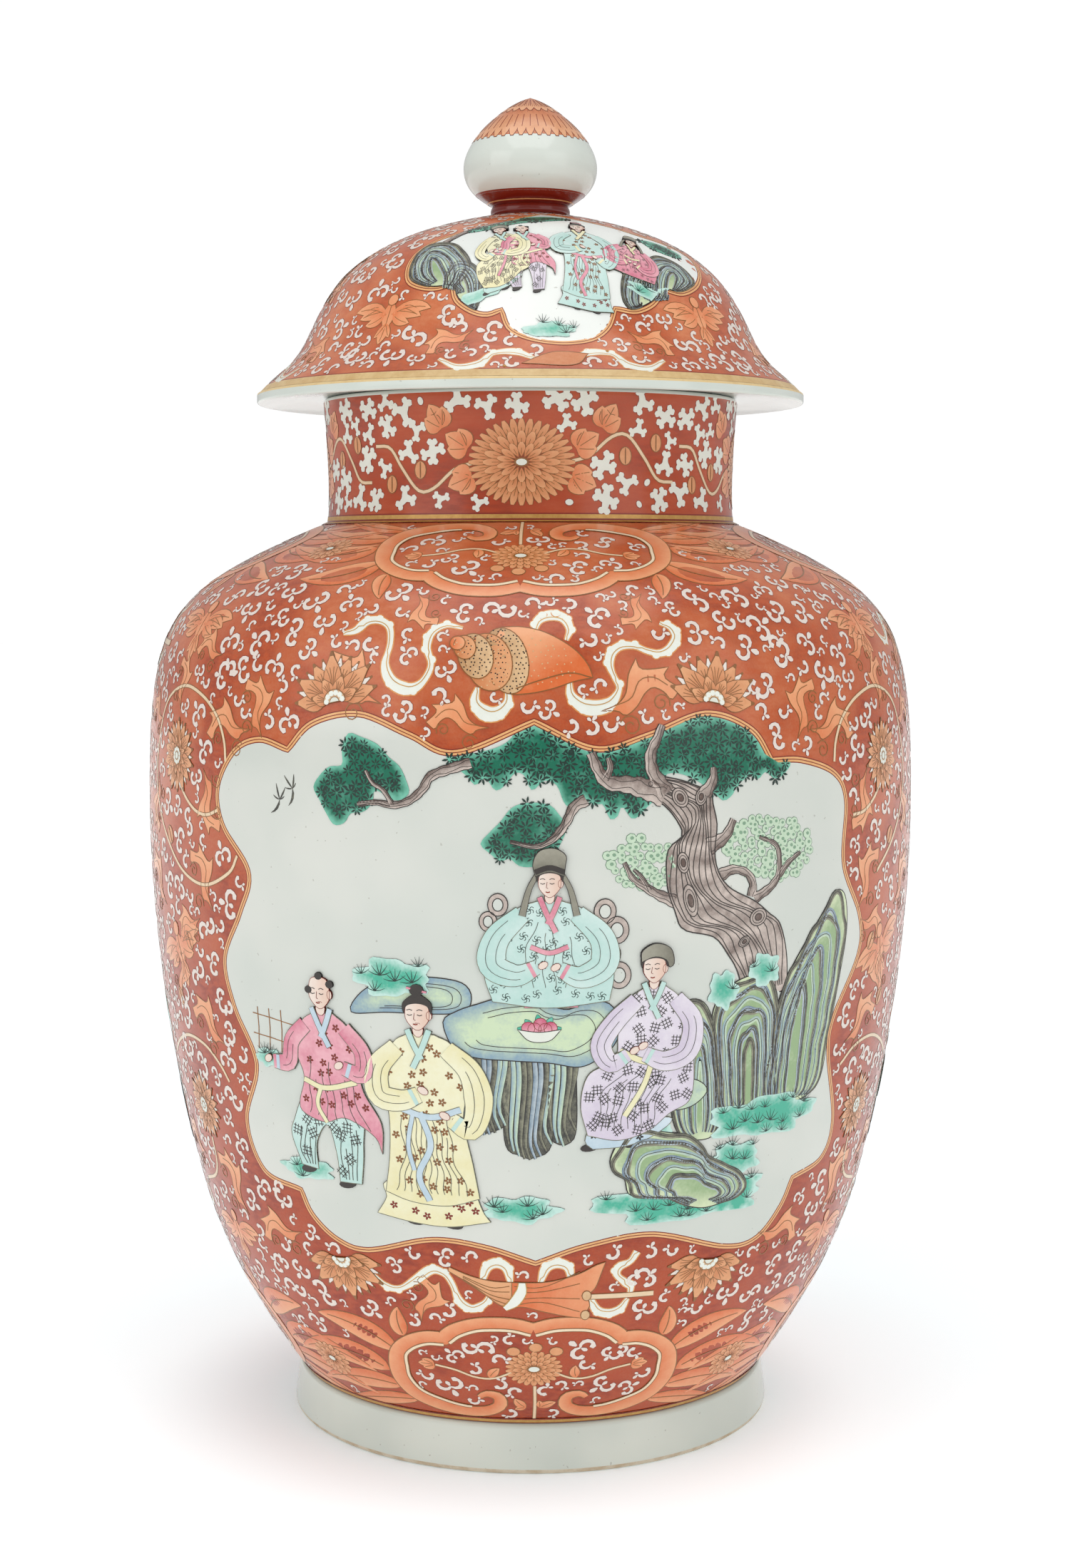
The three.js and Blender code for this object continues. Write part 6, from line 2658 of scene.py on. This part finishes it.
    def finish_number(self, middle: Array) -> Array:
        """Gives the number of each face's finish: the ground outside, white, or the gold of the rim's top.

        Args:
            middle: The faces' middles.

        Returns:
            Their numbers.
        """
        radius, height = np.hypot(middle[:, 0], middle[:, 1]), middle[:, 2]
        outer = np.interp(height, self.outside[:, 1], self.outside[:, 0])
        over_top = height - self.outside[0, 1]
        white = (radius < outer - self.skin) | (over_top < -self.rim_round)
        return np.where(white, 1, np.where(over_top < self.gold_height, 2, 0))

    def paint_dome(self) -> None:
        """Paints the dome: two panels, emblems and bats below them, leaves, scrolls and a gold rim."""
        painting = self.painting
        painting.hoop(2.6, 4.4, Finish.RED_LINE, 0)
        painting.hoop(2.1, 4.2, Finish.RIM_GOLD, 1)
        painting.hoop(self.face.arc[-1] - 1.2, 1.6, Finish.RED_LINE, 6)
        for angle, back in ((7, False), (187, True)):
            hand = painting.hand(angle, self.panel_height, lay_on=Lay.CROWN)
            # The cover panels take the lighter copy of the panel glaze: painted light on the upward-facing
            # cover.
            border = panel(hand, COVER_PANEL, back, Finish.LIT_COVER_RESERVE)
            cover_garden(painting.hand(angle, self.panel_height, 1, False, Lay.CROWN), back, border)
        for angle in (5, 95, 185, 275):
            hand = painting.hand(angle, 490)
            for side in (-1, 1):
                places = np.array([(8, 0), (16, 5), (26, 4), (32, -3), (42, -5), (50, 1)]) * [side, 1]
                ribbon(hand, places, (2, 5, 2.6, 5, 4, 2))
            fan = smooth(((-14, -3), (-14, -3), (0, 5), (15, 4), (15, 4), (8, -4)), True, 2)
            hand.area(fan, Finish.PETAL, BROWN, 3, wash=0.8)
            hand.line(np.array([(-22.0, -5.0), (24.0, 6.0)]), 1.4, Finish.GOLD, 5, 0.9)
            for side in (-1, 1):
                if angle in (5, 185):
                    bat(painting.hand(angle + side * 42, 512).on(0, 0, size=0.85))
                leaves = painting.hand(angle + side * 24, 500)
                spray(leaves.on(0, 0, turn=-side * 70, size=0.75, mirror=side < 0))
        for angle in (97, 277):
            lotus(painting.hand(angle, 536, 1, lay_on=Lay.CROWN), 17)
            hand = painting.hand(angle, 536, lay_on=Lay.CROWN)
            for side in (-1, 1):
                spray(hand.on(side * 18, -6, turn=-side * 60, size=0.8))
                spray(hand.on(side * 14, 14, turn=-side * 20, size=0.7))
        strew_scrolls(Scatter(painting, 6, self.face.arc[-1] - 5, 9))

    def paint_bud(self) -> None:
        """Paints the knop: two rows of coral petals on its cone, with a scalloped edge."""
        painting = self.bud_painting
        face = painting.face
        length = face.arc[-1] - float(face.arc_at(self.petal_edge))
        hand = Brush(painting, Chart(face, 0.0, face.arc[-1], lay_on=Lay.CROWN))
        hand.area(ellipse(0, 0, length, length, steps=72), Finish.PETAL_CORAL, spacing=3.0, wash=0.8)
        for start, end, count, up in ((0.42, 1.03, 40, 1), (0.0, 0.5, 24, 4)):
            width = 2 * math.pi * length * end / count * 0.9
            petal = bent(length * (end - start), 0, 7)
            swell = np.r_[np.linspace(width * max(start / end, 0.12), width, 6), width * 0.85, width * 0.3]
            hand.ring(brushed(petal, swell + 0.5, 0.9), Finish.RED_LINE, count, length * start, up=up)
            inner = brushed(petal * [1, 0.985], swell, np.linspace(0.9, 0.0, 8))
            hand.ring(inner, Finish.PETAL_CORAL, count, length * start, up=up + 1)
            hand.ring(brushed(petal[2:-2], 0.3, 0.5), Finish.RED_LINE, count, length * start, up=up + 2)
        painting.hoop(float(face.arc_at(self.red_edge)), 0.9, Finish.RED_LINE, 0)
        painting.hoop(float(face.arc_at(self.stem_top + 1.4)), 0.7, Finish.BORDER, 1)


@dataclass
class Studio:
    """A pale floor with a painted shadow round the foot, a white surround and a dimmer sky, three soft lights
    and the camera.
    """

    lens: float = 56.48
    sensor: float = 36.0
    eye: tuple[float, float, float] = (0.0022, -1.175, 0.405)
    tilt: float = 84.8
    aim_height: float = 0.3
    sky_strength: float = 0.5
    # The middle of the floor's painted shadow, in metres, a little left of the axis.
    painted_shadow_middle: tuple[float, float, float] = (-0.018, 0.0, 0.0)

    def build(self) -> None:
        """Makes the floor, the sky, the lights and the camera."""
        self.floor()
        self.surround()
        self.sky()
        for name, place, size, power in (
            ("left_light", (-1.5, -1.1, 1.1), 1.3, 6.0), ("right_light", (1.35, -1.25, 1.0), 1.3, 4.5),
            ("top_light", (0.0, -0.4, 1.9), 1.5, 10.5),
        ):
            self.light(name, Vector(place), size, power)
        camera = bpy.data.cameras.new("camera")
        camera.lens, camera.sensor_width = self.lens, self.sensor
        made = bpy.data.objects.new("camera", camera)
        made.location = self.eye
        made.rotation_euler = (math.radians(self.tilt), 0, 0)
        bpy.context.scene.collection.objects.link(made)
        bpy.context.scene.camera = made
        bpy.context.scene.view_settings.view_transform = "Standard"

    def floor(self) -> None:
        """Makes the floor: a disc in rings that lies level with the foot, its glow white far off and darkened
        near the foot into a painted shadow.
        """
        columns = 64
        ring = np.array([0.0, 0.5, 1.5, 4.0, 12.0])[:, None]
        angle = np.linspace(0, 2 * np.pi, columns, endpoint=False)
        points = np.stack([ring * np.cos(angle), ring * np.sin(angle), 0 * ring * angle], -1).reshape(-1, 3)
        i, j = np.meshgrid(np.arange(len(ring) - 1), np.arange(columns), indexing="ij")
        near, far, after = i * columns, (i + 1) * columns, (j + 1) % columns
        faces = np.stack([near + j, far + j, far + after, near + after], -1).reshape(-1, 4)
        mesh = bpy.data.meshes.new("floor_disc")
        mesh.from_pydata(points.tolist(), [], faces.tolist())
        shader = Shader("pale_floor")
        tone = shader.mix(colour("FBFBFA"), colour("F6F6F5"), shader.noise(300, 2))
        # Painted shadow: the glow is a dim cool grey near and under the foot, centred 18 mm left of the axis,
        # a paler grey by 185 mm out, and white from about 1.8 m.
        sockets = {0: shader.place(), 1: self.painted_shadow_middle}
        away = shader.node("ShaderNodeVectorMath", {"operation": "DISTANCE"}, sockets, output=1)
        emission_with_painted_shadow = shader.mix(colour("8496A0"), colour("CCD8DD"), away.step(0.09, 0.185))
        emission_with_painted_shadow = shader.mix(emission_with_painted_shadow, colour("FFFFFF"), away.step(0.6, 1.8))
        mesh.materials.append(shader.set(Base_Color=tone, Roughness=0.6, Emission_Color=emission_with_painted_shadow,
                                         Emission_Strength=0.6))
        made = bpy.data.objects.new("floor_disc", mesh)
        bpy.context.scene.collection.objects.link(made)

    @staticmethod
    def surround() -> None:
        """Makes a wide white ball that faces inwards and that only the camera sees."""
        ball = bmesh.new()
        bmesh.ops.create_uvsphere(ball, u_segments=48, v_segments=24, radius=11.0)
        bmesh.ops.reverse_faces(ball, faces=ball.faces)
        mesh = bpy.data.meshes.new("surround")
        ball.to_mesh(mesh)
        ball.free()
        shader = Shader("white_surround")
        white = colour("FFFFFF")
        mesh.materials.append(shader.set(Base_Color=colour("000000"), Roughness=1.0, Emission_Color=white,
                                         Emission_Strength=1.0))
        made = bpy.data.objects.new("surround", mesh)
        made.visible_diffuse = made.visible_glossy = made.visible_transmission = made.visible_shadow = False
        bpy.context.scene.collection.objects.link(made)

    def sky(self) -> None:
        """Makes the even light from all sides."""
        world = bpy.data.worlds.new("surround")
        world.use_nodes = True
        world.node_tree.nodes["Background"].inputs["Color"].default_value = (1.0, 1.0, 1.0, 1.0)
        world.node_tree.nodes["Background"].inputs["Strength"].default_value = self.sky_strength
        bpy.context.scene.world = world

    def light(self, name: str, place: Vector, size: float, power: float) -> None:
        """Makes one soft square light that faces the jar's middle.

        Args:
            name: Its name.
            place: Where it hangs.
            size: The square's side.
            power: Its power in watts.
        """
        lamp = bpy.data.lights.new(name, "AREA")
        lamp.size, lamp.energy = size, power
        made = bpy.data.objects.new(name, lamp)
        made.location = place
        made.rotation_euler = (place - Vector((0, 0, self.aim_height))).to_track_quat("Z", "Y").to_euler()
        bpy.context.scene.collection.objects.link(made)


def main() -> None:
    """Builds the jar, its cover, the floor, the lights and the camera."""
    logging.basicConfig(level=logging.INFO, format="%(message)s")
    Studio().build()
    Jar().build()
    Cover().build()


if __name__ == "__main__":
    main()
